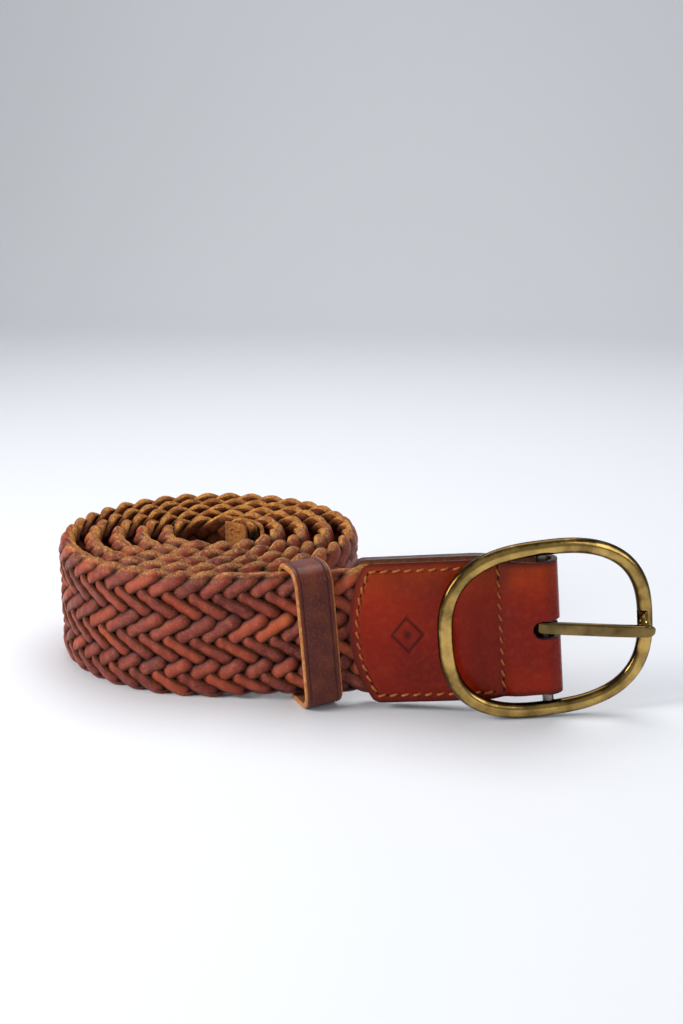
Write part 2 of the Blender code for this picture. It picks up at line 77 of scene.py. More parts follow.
END = Matrix.Translation((LIFT_AT, 0, HALF_W)) @ Matrix.Rotation(-CLIMB, 4, "Y")
PIVOT = END @ Matrix.Translation((along(BAR_X), 0, -FRAME_DROP)) @ Matrix.Rotation(YAW, 4, "Z")
KEEPER = END @ Matrix.Translation((along(KEEPER_X), 0, 0)) @ Matrix.Rotation(KEEPER_YAW, 4, "Z")


def place(matrix, points):
    m = np.array(matrix)
    return np.asarray(points, float) @ m[:3, :3].T + m[:3, 3]


def smoothstep(x):
    x = np.clip(x, 0, 1)
    return x * x * (3 - 2 * x)


def wobble(x, scale, seed, octaves=2):
    """Smooth one-dimensional noise in -1..1."""
    out = np.zeros(np.shape(x))
    for o in range(octaves):
        f = 2.0 ** o / scale
        r = np.random.default_rng(seed * 31 + o)
        table = r.uniform(-1, 1, 4096)
        p = np.asarray(x) * f
        i = np.floor(p).astype(int)
        out += (table[i % 4096] * (1 - smoothstep(p - i)) + table[(i + 1) % 4096] * smoothstep(p - i)) / 2 ** o
    return out / 1.5


# ------------------------------------------------------------------ mesh making
def make_mesh(name, verts, faces, materials, body, material_index=None, attrs=None, sharp=None):
    """verts in mm. faces is a list or an (n, 4) array. Turns the faces outward by volume."""
    verts = np.asarray(verts, float)
    mesh = bpy.data.meshes.new(name)
    quads = np.array([f for f in faces if len(f) == 4])
    a, b, c, d = (verts[quads[:, i]] for i in range(4))
    vol = float((a * np.cross(b, c)).sum() + (a * np.cross(c, d)).sum())
    faces = [tuple(map(int, f)) for f in faces]
    if vol < 0:
        faces = [f[::-1] for f in faces]
    mesh.from_pydata((verts * MM).tolist(), [], faces)
    for m in materials:
        mesh.materials.append(m)
    if material_index is not None:
        mesh.polygons.foreach_set("material_index", np.asarray(material_index, np.int32))
    set_values(mesh, **(attrs or {}))
    mesh.shade_smooth()
    if sharp:
        mesh.set_sharp_from_angle(angle=math.radians(sharp))
    mesh.update()
    obj = add_object(name, mesh)
    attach(obj, body)
    return obj


def set_values(mesh, **attrs):
    """Store one number per vertex under each name, for the materials to read."""
    for key, values in attrs.items():
        layer = mesh.attributes.new(key, "FLOAT", "POINT")
        layer.data.foreach_set("value", np.asarray(values, np.float32).ravel())


def add_object(name, mesh):
    obj = bpy.data.objects.new(name, mesh)
    bpy.context.scene.collection.objects.link(obj)
    return obj


def sheet_thickness(obj, thickness):
    """Thicken a one-sided sheet inward; its second material is the lining, its third the rim."""
    s = obj.modifiers.new("thickness", "SOLIDIFY")
    s.thickness, s.offset, s.use_even_offset = thickness * MM, -1, True
    s.material_offset, s.material_offset_rim = 1, 2


def tube(points, wide, thick, section, closed=False):
    """Quads of a section (k,2) or (m,k,2) swept along points with per-point axes; open ends are capped."""
    m = len(points)
    section = np.asarray(section, float)
    if section.ndim == 2:
        section = np.broadcast_to(section, (m,) + section.shape)
    k = section.shape[1]
    v = (points[:, None, :] + section[:, :, 0, None] * wide[:, None, :]
         + section[:, :, 1, None] * thick[:, None, :]).reshape(-1, 3)
    rows = m if closed else m - 1
    i, j = np.meshgrid(np.arange(rows), np.arange(k), indexing="ij")
    i2, j2 = (i + 1) % m, (j + 1) % k
    quads = np.stack([i * k + j, i * k + j2, i2 * k + j2, i2 * k + j], -1).reshape(-1, 4)
    faces = [tuple(q) for q in quads]
    strip = np.tile(np.arange(k), rows)
    if not closed:
        faces.append(tuple(range(k - 1, -1, -1)))
        faces.append(tuple((m - 1) * k + a for a in range(k)))
        strip = np.concatenate([strip, [-1, -1]])
    return v, faces, strip


def superellipse(angle, half_x, half_y, power_x, power_y=None):
    """Points (n, 2) of a rounded rectangle, by angle."""
    c, s = np.cos(angle), np.sin(angle)
    return np.stack([half_x * np.sign(c) * np.abs(c) ** (2 / power_x),
                     half_y * np.sign(s) * np.abs(s) ** (2 / (power_y or power_x))], -1)


def run_length(points):
    """Distance along a line of points, from its first."""
    return np.concatenate([[0], np.cumsum(np.linalg.norm(np.diff(points, axis=0), axis=1))])


def resample(at, length, points):
    return np.stack([np.interp(at, length, points[:, i]) for i in range(points.shape[1])], -1)


def unit(a):
    return a / np.maximum(np.linalg.norm(a, axis=-1, keepdims=True), 1e-12)


def tangents(p, closed=False):
    if closed:
        return unit(np.roll(p, -1, 0) - np.roll(p, 1, 0))
    return unit(np.gradient(p, axis=0))


# ------------------------------------------------------------------ materials
CREASE_AT = 2.1    # mm from the keeper's edge


class Tree:
    """A material's node tree with short calls for the nodes used here; texture scales are per metre."""

    def __init__(self, name):
        self.mat = bpy.data.materials.new(name)
        self.mat.use_nodes = True
        self.t = self.mat.node_tree
        self.bsdf = self.t.nodes["Principled BSDF"]
        self.coord = self.t.nodes.new("ShaderNodeTexCoord").outputs["Object"]

    def link(self, value, socket):
        if hasattr(value, "is_output"):
            self.t.links.new(value, socket)
        elif isinstance(value, (tuple, list)) and len(value) == 3 and len(socket.default_value) == 4:
            socket.default_value = (*value, 1)
        else:
            socket.default_value = value

    def noise(self, scale, detail=4.0, rough=0.55, distort=0.0, stretch=None):
        n = self.t.nodes.new("ShaderNodeTexNoise")
        v = self.coord
        if stretch:
            m = self.t.nodes.new("ShaderNodeMapping")
            m.inputs["Scale"].default_value = stretch
            self.t.links.new(v, m.inputs["Vector"])
            v = m.outputs[0]
        self.t.links.new(v, n.inputs["Vector"])
        n.inputs["Scale"].default_value = scale
        n.inputs["Detail"].default_value = detail
        n.inputs["Roughness"].default_value = rough
        n.inputs["Distortion"].default_value = distort
        return n.outputs["Fac"]

    def cells(self, scale):
        """Pore pattern: distance to the nearest cell wall."""
        n = self.t.nodes.new("ShaderNodeTexVoronoi")
        n.feature = "DISTANCE_TO_EDGE"
        self.t.links.new(self.coord, n.inputs["Vector"])
        n.inputs["Scale"].default_value = scale
        return n.outputs["Distance"]

    def attr(self, name):
        n = self.t.nodes.new("ShaderNodeAttribute")
        n.attribute_name = name
        return n.outputs["Fac"]

    def ramp(self, fac, *stops):
        n = self.t.nodes.new("ShaderNodeValToRGB")
        self.t.links.new(fac, n.inputs[0])
        e = n.color_ramp.elements
        while len(e) < len(stops):
            e.new(0.5)
        for el, (p, c) in zip(e, stops):
            el.position = p
            el.color = (*c, 1) if isinstance(c, tuple) else (c, c, c, 1)
        return n.outputs[0]

    def mix(self, fac, a, b, kind="MIX"):
        """Colour mix; sockets 6, 7 and output 2 are the node's colour ones."""
        n = self.t.nodes.new("ShaderNodeMix")
        n.data_type = "RGBA"
        n.blend_type = kind
        self.link(fac, n.inputs["Factor"])
        self.link(a, n.inputs[6])
        self.link(b, n.inputs[7])
        return n.outputs[2]

    def math(self, op, a, b=0.0, clamp=False):
        n = self.t.nodes.new("ShaderNodeMath")
        n.operation = op
        n.use_clamp = clamp
        self.link(a, n.inputs[0])
        self.link(b, n.inputs[1])
        return n.outputs[0]

    def fit(self, v, a, b, c=0.0, d=1.0):
        n = self.t.nodes.new("ShaderNodeMapRange")
        self.link(v, n.inputs[0])
        for i, x in enumerate((a, b, c, d)):
            n.inputs[1 + i].default_value = x
        return n.outputs[0]

    def bump(self, height, strength, distance, normal=None):
        n = self.t.nodes.new("ShaderNodeBump")
        n.inputs["Strength"].default_value = strength
        n.inputs["Distance"].default_value = distance
        self.t.links.new(height, n.inputs["Height"])
        if normal:
            self.t.links.new(normal, n.inputs["Normal"])
        return n.outputs[0]

    def done(self, colour, rough, normal=None, **fixed):
        self.link(colour, self.bsdf.inputs["Base Color"])
        self.link(rough, self.bsdf.inputs["Roughness"])
        if normal:
            self.t.links.new(normal, self.bsdf.inputs["Normal"])
        for key, value in fixed.items():
            s = self.bsdf.inputs[key.replace("_", " ")]
            s.default_value = (*value, 1) if isinstance(value, tuple) else value
        return self.mat


def strand_grain():
    """Smooth dyed side of a strand, with painted shade toward its sides and in the depths of the braid, painted
    glints, and golden fuzz at the upper edge, partly wear and partly painted light from above.
    """
    t = Tree("strand_grain_leather")
    tone, side, depth = t.attr("tone"), t.attr("side"), t.attr("depth")
    mottled = t.noise(300, 6, 0.65)
    broad = t.noise(45, 3)
    fuzz, big = t.noise(1500, 4, 0.75), t.noise(230, 4, 0.6)
    base = t.ramp(tone, (0.0, (0.065, 0.010, 0.008)), (0.35, (0.150, 0.022, 0.012)),
                  (0.65, (0.265, 0.038, 0.013)), (1.0, (0.430, 0.078, 0.018)))
    base = t.mix(t.fit(broad, 0.35, 0.7, 0.0, 0.5), base, (0.170, 0.030, 0.024))
    base = t.mix(t.fit(mottled, 0.45, 0.75, 0.0, 0.5), base, (0.440, 0.110, 0.052))
    # painted highlight: sparse pale pink speckles standing in for glints on the grain
    pale = t.fit(t.noise(1500, 2, 0.7), 0.56, 0.72, 0.0, 0.28)
    base = t.mix(pale, base, (0.560, 0.200, 0.120))
    # golden fuzz patches near the strap's upper edge only: partly rubbed-through dye and partly painted light
    # from above
    worn_and_lit = t.ramp(fuzz, (0.42, (0.200, 0.060, 0.016)), (0.56, (0.520, 0.230, 0.060)),
                  (0.70, (0.800, 0.440, 0.150)))
    patches = t.math("MULTIPLY", t.fit(big, 0.40, 0.50), t.fit(side, 0.10, 0.75, 0.15, 1.0))
    rubbed_and_lit = t.math("MULTIPLY", t.attr("up"), patches)
    base = t.mix(rubbed_and_lit, base, worn_and_lit)
    # painted shade: the strand's sides darken toward near black, standing in for the shadowed gaps between
    # strands
    rim = t.math("POWER", side, 3.0)
    base = t.mix(t.math("MULTIPLY", rim, 0.72), base, (0.035, 0.007, 0.005))
    # painted shade: low depth, in the braid's gaps and the recesses between the edge lobes, multiplies the
    # colour toward black
    base = t.mix(1.0, base, t.ramp(depth, (0.28, 0.01), (0.50, 0.12), (0.68, 0.66), (0.92, 1.15)), "MULTIPLY")
    pores = t.math("ADD", t.math("MULTIPLY", t.cells(1900), 0.8), t.math("MULTIPLY", t.noise(2600, 2), 0.6))
    n = t.bump(mottled, 0.8, 0.0006)
    n = t.bump(pores, 0.9, 0.00022, n)
    rough = t.math("MAXIMUM", t.fit(mottled, 0.3, 0.75, 0.27, 0.50), t.fit(depth, 0.40, 0.75, 0.95, 0.30))
    return t.done(base, rough, n, Specular_IOR_Level=0.20)


def strand_edge():
    """Raw cut side of a strand: golden at the strap's upper edge, dark elsewhere; the gold only on top is
    partly the raw colour and partly painted light from above, the dark is painted shade in the braid's gaps.
    """
    t = Tree("strand_cut_edge")
    fuzz = t.noise(1700, 4, 0.75)
    big = t.noise(300, 4, 0.6)
    c = t.ramp(fuzz, (0.30, (0.110, 0.034, 0.010)), (0.46, (0.420, 0.160, 0.032)),
               (0.60, (0.700, 0.330, 0.080)), (0.75, (0.900, 0.540, 0.190)))
    c = t.mix(t.fit(big, 0.42, 0.60, 0.0, 0.85), c, (0.230, 0.060, 0.016))
    dark = t.ramp(fuzz, (0.35, (0.040, 0.009, 0.005)), (0.62, (0.150, 0.034, 0.012)),
                  (0.80, (0.34, 0.115, 0.030)))
    # golden raw edge on top, dark cut sides elsewhere: partly the raw colour, partly painted light from above
    # and painted shade in the gaps
    c = t.mix(t.attr("up"), dark, c)
    # painted shade: darker with depth in the braid
    c = t.mix(1.0, c, t.ramp(t.attr("depth"), (0.25, 0.03), (0.50, 0.25), (0.85, 1.0)), "MULTIPLY")
    n = t.bump(fuzz, 1.0, 0.0005)
    return t.done(c, 0.85, n, Specular_IOR_Level=0.15, Sheen_Weight=0.12, Sheen_Roughness=0.5,
                  Sheen_Tint=(1.0, 0.62, 0.28))


def strand_flesh():
    """Suede inner side of a strand, golden near the strap's upper edge and dyed below; the gold only on top is
    partly its own colour and partly painted light from above, and painted shade darkens it with depth.
    """
    t = Tree("strand_suede")
    fuzz = t.noise(1300, 4, 0.7)
    big = t.noise(160, 4)
    gold = t.ramp(fuzz, (0.32, (0.12, 0.038, 0.012)), (0.5, (0.36, 0.130, 0.034)),
                  (0.72, (0.66, 0.320, 0.100)))
    dyed = t.ramp(fuzz, (0.32, (0.045, 0.010, 0.005)), (0.5, (0.150, 0.036, 0.013)),
                  (0.74, (0.28, 0.085, 0.028)))
    # golden fuzz near the upper edge: partly its own colour, partly painted light from above
    c = t.mix(t.math("MULTIPLY", t.attr("up"), t.fit(big, 0.44, 0.60, 0.10, 0.95)), dyed, gold)
    c = t.mix(t.fit(big, 0.4, 0.7, 0.0, 0.6), c, (0.12, 0.030, 0.011))
    # painted shade: darker with depth in the braid
    c = t.mix(1.0, c, t.ramp(t.attr("depth"), (0.30, 0.03), (0.55, 0.25), (0.90, 1.0)), "MULTIPLY")
    n = t.bump(fuzz, 0.9, 0.0004)
    return t.done(c, 0.9, n, Specular_IOR_Level=0.12)


def tip_suede():
    t = Tree("tip_flesh_side")
    fuzz, big = t.noise(1400, 4, 0.75), t.noise(200, 4)
    c = t.ramp(fuzz, (0.30, (0.13, 0.042, 0.012)), (0.50, (0.36, 0.135, 0.034)),
               (0.72, (0.62, 0.300, 0.090)))
    c = t.mix(t.fit(big, 0.4, 0.7, 0.0, 0.6), c, (0.20, 0.060, 0.018))
    return t.done(c, 0.9, t.bump(fuzz, 0.9, 0.0004), Specular_IOR_Level=0.12)


def chape_grain():
    """Polished cognac leather with a dark rim, lighter toward the top ("high") as a painted highlight; "mark"
    is the pressed diamond.
    """
    t = Tree("chape_polished_leather")
    edge, high, mark = t.attr("edge"), t.attr("high"), t.attr("mark")
    cloud, fine = t.noise(38, 4, 0.55, 0.3), t.noise(420, 5, 0.6)
    # painted highlight: the colour brightens toward the top of the chape
    c = t.ramp(high, (0.0, (0.225, 0.014, 0.003)), (0.40, (0.205, 0.009, 0.002)),
               (0.72, (0.255, 0.014, 0.002)), (1.0, (0.330, 0.040, 0.003)))
    c = t.mix(t.fit(cloud, 0.38, 0.66, 0.0, 0.60), c, (0.100, 0.005, 0.003))
    c = t.mix(t.fit(fine, 0.50, 0.75, 0.0, 0.20), c, (0.420, 0.065, 0.012))
    c = t.mix(t.fit(edge, 0.5, 2.4, 0.72, 0.0), c, (0.045, 0.007, 0.006))
    c = t.mix(t.math("MULTIPLY", mark, 0.85), c, (0.022, 0.004, 0.003))
    pores = t.cells(1500)
    n = t.bump(fine, 0.16, 0.0003)
    n = t.bump(pores, 0.22, 0.00008, n)
    n = t.bump(t.math("MULTIPLY", mark, -1.0), 0.7, 0.00045, n)
    rough = t.fit(fine, 0.3, 0.75, 0.20, 0.36)
    return t.done(c, rough, n, Specular_IOR_Level=0.10, Coat_Weight=0.05, Coat_Roughness=0.12)


def painted_edge():
    t = Tree("painted_edge")
    m = t.noise(350, 4)
    c = t.ramp(m, (0.35, (0.030, 0.010, 0.012)), (0.7, (0.085, 0.030, 0.032)))
    return t.done(c, 0.34, t.bump(m, 0.3, 0.0003), Specular_IOR_Level=0.35)


def lining():
    t = Tree("chape_flesh_side")
    m = t.noise(900, 4, 0.7)
    c = t.ramp(m, (0.3, (0.10, 0.036, 0.018)), (0.7, (0.22, 0.088, 0.040)))
    return t.done(c, 0.85, t.bump(m, 0.7, 0.0003), Specular_IOR_Level=0.15)


def keeper_grain():
    """Burgundy leather with a pressed crease along each edge ("edge" is mm from it)."""
    t = Tree("keeper_leather")
    edge = t.attr("edge")
    cloud, speck = t.noise(120, 4), t.noise(1100, 3, 0.75)
    c = t.ramp(cloud, (0.3, (0.070, 0.010, 0.007)), (0.5, (0.100, 0.015, 0.008)),
               (0.72, (0.160, 0.032, 0.011)))
    c = t.mix(t.fit(speck, 0.52, 0.70, 0.0, 0.45), c, (0.260, 0.075, 0.035))
    c = t.mix(t.fit(edge, 0.25, 1.5, 0.55, 0.0), c, (0.300, 0.070, 0.014))
    from_crease = t.math("ABSOLUTE", t.math("SUBTRACT", edge, CREASE_AT))
    crease = t.math("SUBTRACT", 1.0, t.math("DIVIDE", from_crease, 0.38), True)
    c = t.mix(t.math("MULTIPLY", crease, 0.75), c, (0.030, 0.008, 0.008))
    n = t.bump(t.noise(420, 5), 0.28, 0.0003)
    n = t.bump(t.cells(1500), 0.35, 0.0001, n)
    n = t.bump(t.math("MULTIPLY", crease, -1.0), 0.6, 0.0003, n)
    return t.done(c, t.fit(speck, 0.3, 0.7, 0.33, 0.48), n, Specular_IOR_Level=0.25)


def keeper_edge():
    t = Tree("keeper_burnished_edge")
    m = t.noise(700, 4, 0.65)
    c = t.ramp(m, (0.3, (0.25, 0.080, 0.018)), (0.55, (0.46, 0.175, 0.045)), (0.75, (0.62, 0.30, 0.11)))
    return t.done(c, 0.42, t.bump(m, 0.4, 0.0003), Specular_IOR_Level=0.35)


def thread_material():
    t = Tree("waxed_thread")
    m = t.noise(2500, 2, 0.6)
    c = t.ramp(m, (0.35, (0.20, 0.050, 0.010)), (0.7, (0.52, 0.165, 0.034)))
    return t.done(c, 0.5, t.bump(m, 0.7, 0.0002), Specular_IOR_Level=0.25)


def hole_material():
    t = Tree("stitch_hole_shadow")
    m = t.noise(900, 2)
    c = t.ramp(m, (0.3, (0.006, 0.003, 0.003)), (0.7, (0.016, 0.006, 0.005)))
    return t.done(c, 0.7, Specular_IOR_Level=0.2)


def brass(name, gold, dark, amount):
    """Polished crown, dark patina by noise, and flanks darkened to the patina colour, partly patina and partly
    painted shade standing in for their darker reflections; amount is the noise patina's share.
    """
    t = Tree(name)
    patina, fine = t.noise(110, 5, 0.6), t.noise(900, 4, 0.65)
    c = t.mix(t.fit(patina, 0.40, 0.72, 0.0, amount), gold, dark)
    # the flanks darken: partly patina, partly painted shade for their darker reflections
    flank_patina_and_shade = t.math("ADD", t.attr("flank"), t.fit(patina, 0.35, 0.65, -0.25, 0.25))
    c = t.mix(t.fit(flank_patina_and_shade, 0.30, 0.85), c, dark)
    c = t.mix(t.fit(fine, 0.60, 0.78, 0.0, 0.45), c, (0.13, 0.080, 0.028))
    brushed = t.noise(500, 3, 0.6, stretch=(1.0, 1.0, 6.0))
    rough = t.math("ADD", t.fit(patina, 0.35, 0.75, 0.10, 0.24), t.fit(fine, 0.5, 0.8, 0.0, 0.10))
    n = t.bump(brushed, 0.05, 0.0002)
    n = t.bump(fine, 0.06, 0.0002, n)
    return t.done(c, rough, n, Metallic=1.0)


def steel():
    t = Tree("dark_steel")
    m = t.noise(600, 4)
    c = t.ramp(m, (0.3, (0.16, 0.15, 0.14)), (0.7, (0.34, 0.33, 0.31)))
    return t.done(c, t.fit(m, 0.3, 0.7, 0.28, 0.45), t.bump(m, 0.1, 0.0002), Metallic=1.0)


GRAIN, CUT, FLESH = strand_grain(), strand_edge(), strand_flesh()
CHAPE, PAINT, LINING = chape_grain(), painted_edge(), lining()
KEEPER_FACE, KEEPER_RIM = keeper_grain(), keeper_edge()
THREAD, HOLE, STEEL = thread_material(), hole_material(), steel()
TIP_FACE = tip_suede()
BRASS = brass("buckle_brass", (0.55, 0.355, 0.105), (0.070, 0.040, 0.011), 0.85)
PRONG_BRASS = brass("prong_brass", (0.24, 0.160, 0.060), (0.070, 0.045, 0.017), 0.9)

# ------------------------------------------------------------------ the strap's line
STRAIGHT_POINTS = 400


def spiral(angle):
    """Middle of the strap in plan, by angle from where the straight end runs in."""
    a = THETA0 + np.asarray(angle, float)
    r = COIL_R - COIL_P * a / (2 * math.pi)
    r0 = COIL_R - COIL_P * THETA0 / (2 * math.pi)
    return np.stack([COIL_START - OVAL * r * np.sin(a) + OVAL * r0 * math.sin(THETA0),
                     -r * np.cos(a) + r0 * math.cos(THETA0)], -1)


_a = np.linspace(0, 2 * math.pi * COIL_TURNS, 6000)
_straight = np.linspace(BRAID_END, COIL_START, STRAIGHT_POINTS, endpoint=False)
_plan = np.concatenate([np.stack([_straight, np.zeros(STRAIGHT_POINTS)], -1), spiral(_a)])
_len = run_length(_plan)
_tan = tangents(_plan)
STRAP_LENGTH = float(_len[-1])
# only the straight end climbs: a parabola eases it into the slope
_past = _plan[:, 0] - (LIFT_AT - LIFT_BLEND)
_on = np.arange(len(_plan)) < STRAIGHT_POINTS
_eased = math.tan(CLIMB) * _past ** 2 / (4 * LIFT_BLEND)
_sloped = math.tan(CLIMB) * (_plan[:, 0] - LIFT_AT)
_lift = np.where(_past <= 0, 0, np.where(_past < 2 * LIFT_BLEND, _eased, _sloped)) * _on
_tilt = np.clip(_past / (2 * LIFT_BLEND), 0, 1) * CLIMB * _on


def strap_point(t, w, n):
    """World place (mm) of strap coordinates: t along from the chape end, w up from the middle, n outward."""
    x, y = np.interp(t, _len, _plan[:, 0]), np.interp(t, _len, _plan[:, 1])
    tx, ty = np.interp(t, _len, _tan[:, 0]), np.interp(t, _len, _tan[:, 1])
    s = np.hypot(tx, ty)
    tx, ty = tx / s, ty / s
    lift, tilt = np.interp(t, _len, _lift), np.interp(t, _len, _tilt)
    nx, ny = -ty, tx
    return np.stack([x + n * nx - w * np.sin(tilt), y + n * ny, HALF_W + lift + w * np.cos(tilt)], -1)


# ------------------------------------------------------------------ the braid
# A flat braid: every strand zigzags between the edges, one pitch behind the last, and the bands say
# on which face it lies at each half pitch of its way across.
STRANDS = 16
PITCH = 9.2                     # between two strands, along the strap
PERIOD = STRANDS * PITCH        # one way down and up again
STEP = PITCH / 2
STEPS = 2 * STRANDS
PEAK, ROUND = 21.15, 1.05       # height of the zigzag's points and how round they are
SLOPE = math.sqrt(PEAK ** 2 - ROUND ** 2) / (PERIOD / 4)
LAYER = 1.20                    # strand's middle in front of or behind the strap's
STRAND_W, STRAND_T = 5.65, 2.35
ROLL = 0.42                     # shingle angle, radians
WIDEN, SHIFT_UP = 1.013, 0.30   # fits the strands to the strap's edges
TURN_REACH = 2.6                # half length of an edge turn
COVERED_FROM, COVERED_TO_END, COVER_BLEND = 40.0, 20.0, 8.0    # the strands lie flat under the leaves
HELD_FROM, HELD_TO, HELD_BLEND = 38.0, 86.0, 6.0               # reach of the sliding keeper
HELD_EDGE, HELD_GIVE, HELD_FLAT = 21.2, 0.8, 0.30
BANDS = ((0.0, 2.5, 1), (2.5, 5.5, -1), (5.5, 8.5, 1), (8.5, 11.5, -1), (11.5, 13.5, 1), (13.5, 16.0, -1))
_y = np.linspace(0, STEPS, 100 * STEPS + 1)


def _band_wave():
    """Front (+1) or back (-1) of a strand at each step of its way down and up again."""
    value = {}
    for a, b, s in BANDS:
        value[(a, b)] = s
        value[(STEPS - b, STEPS - a)] = -s
    spans = sorted(value)
    out = np.zeros_like(_y)
    for (a, b) in spans:
        out[(_y >= a) & (_y <= b)] = value[(a, b)]
    smooth = out.copy()
    for (a, b), (c, d) in zip(spans, spans[1:] + spans[:1]):
        if value[(a, b)] != value[(c, d)]:
            edge = b % STEPS
            half = 0.85 if edge in (0.0, STRANDS) else 0.52
            dist = (_y - edge + STRANDS) % STEPS - STRANDS
            near = np.abs(dist) < half
            f = smoothstep((dist[near] + half) / (2 * half))
            smooth[near] = value[(a, b)] * (1 - f) + value[(c, d)] * f
    return smooth


BAND_WAVE = _band_wave()


def strand_section():
    """Section of a strand in mm, each point's place across it (-1..1), and each side's material."""
    hw, ht = STRAND_W / 2, STRAND_T / 2
    top = [(-0.93, 0.42), (-0.77, 0.78), (-0.42, 1.04), (0.0, 1.14), (0.42, 1.04), (0.77, 0.78), (0.93, 0.42)]
    right = [(0.99, 0.05), (0.985, -0.50)]
    low = [(0.86, -0.92), (0.40, -1.0), (-0.40, -1.0), (-0.86, -0.92)]
    left = [(-0.985, -0.50), (-0.99, 0.05)]
    pts = np.array(top + right + low + left)
    kinds = [0] * 6 + [1] * 3 + [2] * 3 + [1] * 3
    return pts * (hw, ht), pts[:, 0], np.array(kinds)


SECTION, SECTION_X, SECTION_KIND = strand_section()


def build_strand(k):
    t = np.arange(0.4, STRAP_LENGTH - 0.4)
    phase = (t + k * PITCH) % PERIOD
    quarter, half = PERIOD / 4, PERIOD / 2
    top = (phase < quarter) | (phase > 3 * quarter)
    # distance to the nearest edge turn
    near = np.where(phase < quarter, phase, np.where(phase > 3 * quarter, PERIOD - phase, np.abs(phase - half)))
    w = PEAK - np.sqrt((SLOPE * near) ** 2 + ROUND ** 2)
    w = np.where(top, w, -w)
    f = np.interp(phase / STEP, _y, BAND_WAVE)
    puff = 0.12 * np.cos(2 * math.pi * phase / STEP)
    covered = np.minimum(smoothstep((t - COVERED_FROM) / COVER_BLEND),
                         smoothstep((STRAP_LENGTH - COVERED_TO_END - t) / COVER_BLEND))
    free = 0.12 + 0.88 * covered
    n = (LAYER * f + puff * f + 0.10 * wobble(t, 13, 100 + k)) * (0.84 + 0.16 * covered)
    tt = t + 0.25 * wobble(t, 17, 200 + k)
    w = w * WIDEN + SHIFT_UP + 0.16 * wobble(t, 11, 300 + k)
    # in-plane and outward directions in strap coordinates
    flat = np.stack([tt, w, n], -1)
    d = unit(np.gradient(flat, axis=0))
    across = unit(np.stack([-d[:, 1], d[:, 0], np.zeros(len(t))], -1))
    up = unit(np.cross(d, across))
    up *= np.sign(up[:, 2:3])
    # each strand lies like a shingle, its buckle-side edge outward; the roll holds through the edge turns
    turn = np.exp(-(near / TURN_REACH) ** 2) * np.where(top, 1.0, -1.0)
    lean = np.clip(-f * across[:, 0] / 0.49 - turn, -1, 1) * ROLL * free
    across, up = (across * np.cos(lean)[:, None] + up * np.sin(lean)[:, None],
                  up * np.cos(lean)[:, None] - across * np.sin(lean)[:, None])
    widths = 1.0 + 0.045 * wobble(t, 23, 400 + k) - 0.05 * np.abs(turn)
    sec = np.broadcast_to(SECTION, (len(t),) + SECTION.shape).copy()
    sec[:, :, 0] *= widths[:, None]
    sec[:, :, 1] *= (1.0 + 0.45 * np.abs(turn) * covered)[:, None]
    r = np.random.default_rng(900 + k)
    rag = r.normal(0, 1, sec.shape[:2])
    side = np.abs(SECTION_X) > 0.95
    sec[:, side, 0] += 0.10 * rag[:, side]
    sec[:, side, 1] += 0.07 * rag[:, side][:, ::-1]
    # crown wrinkles on the grain side
    crown = 0.05 * wobble(t, 2.6, 500 + k)
    sec[:, :7, 1] += crown[:, None] * (1 - SECTION_X[:7] ** 2)
    m, c = len(t), len(SECTION)
    local = (flat[:, None, :] + sec[:, :, 0, None] * across[:, None, :] + sec[:, :, 1, None] * up[:, None, :])
    # the keeper holds the edge turns in, wherever it can slide to
    held = (smoothstep((t - HELD_FROM) / HELD_BLEND) * smoothstep((HELD_TO - t) / HELD_BLEND))[:, None]
    past = np.maximum(np.abs(local[..., 1]) - HELD_EDGE, 0.0)
    local[..., 2] *= 1.0 - HELD_FLAT * held * smoothstep((np.abs(local[..., 1]) - 18.0) / 3.0)
    local[..., 1] -= np.sign(local[..., 1]) * held * (past - HELD_GIVE * np.tanh(past / HELD_GIVE))
    world = strap_point(local[..., 0].ravel(), local[..., 1].ravel(), local[..., 2].ravel())
    i, j = np.meshgrid(np.arange(m - 1), np.arange(c), indexing="ij")
    j2 = (j + 1) % c
    quads = np.stack([i * c + j, i * c + j2, (i + 1) * c + j2, (i + 1) * c + j], -1).reshape(-1, 4)
    faces = [tuple(q) for q in quads] + [tuple(range(c - 1, -1, -1)), tuple((m - 1) * c + a for a in range(c))]
    kinds = np.concatenate([np.tile(SECTION_KIND, m - 1), [1, 1]])
    tone = 0.48 + 0.48 * wobble(t, 30, 600 + k) + 0.20 * wobble(t, 9, 700 + k)
    tone = tone + 0.16 * (r.uniform() - 0.5)
    attrs = {
        "tone": np.repeat(np.clip(tone, 0, 1), c),
        # side: place across a strand; the grain material darkens the sides as painted shade
        "side": np.tile(np.abs(SECTION_X), m),
        # depth: low in the braid's gaps and in the recesses between the edge lobes, high on their crests; the
        # materials darken low values as painted shade
        "depth": np.maximum(np.clip(np.abs(local[..., 2].ravel()) / 2.55, 0, 1),
                            smoothstep((np.abs(local[..., 1].ravel()) - 19.0) / 3.4)),
        # up: nearness to the strap's upper edge, where the materials paint golden fuzz, partly its own colour
        # and partly painted light from above
        "up": smoothstep((local[..., 1].ravel() - 18.8) / 3.2),
    }
    obj = make_mesh("strand_%02d" % (k + 1), world, faces, (GRAIN, CUT, FLESH), "belt", kinds, attrs)
    return obj


strands = [build_strand(k) for k in range(STRANDS)]
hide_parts("braided_strap")


# ------------------------------------------------------------------ the chape
def chape_half(x):
    """Half width of the chape at x along it."""
    start = along(SEAM_X) - FOLD_TAPER
    share = smoothstep((x - start) / (along(BAR_X) - start))
    return (CHAPE_W + (FOLD_W - CHAPE_W) * share) / 2


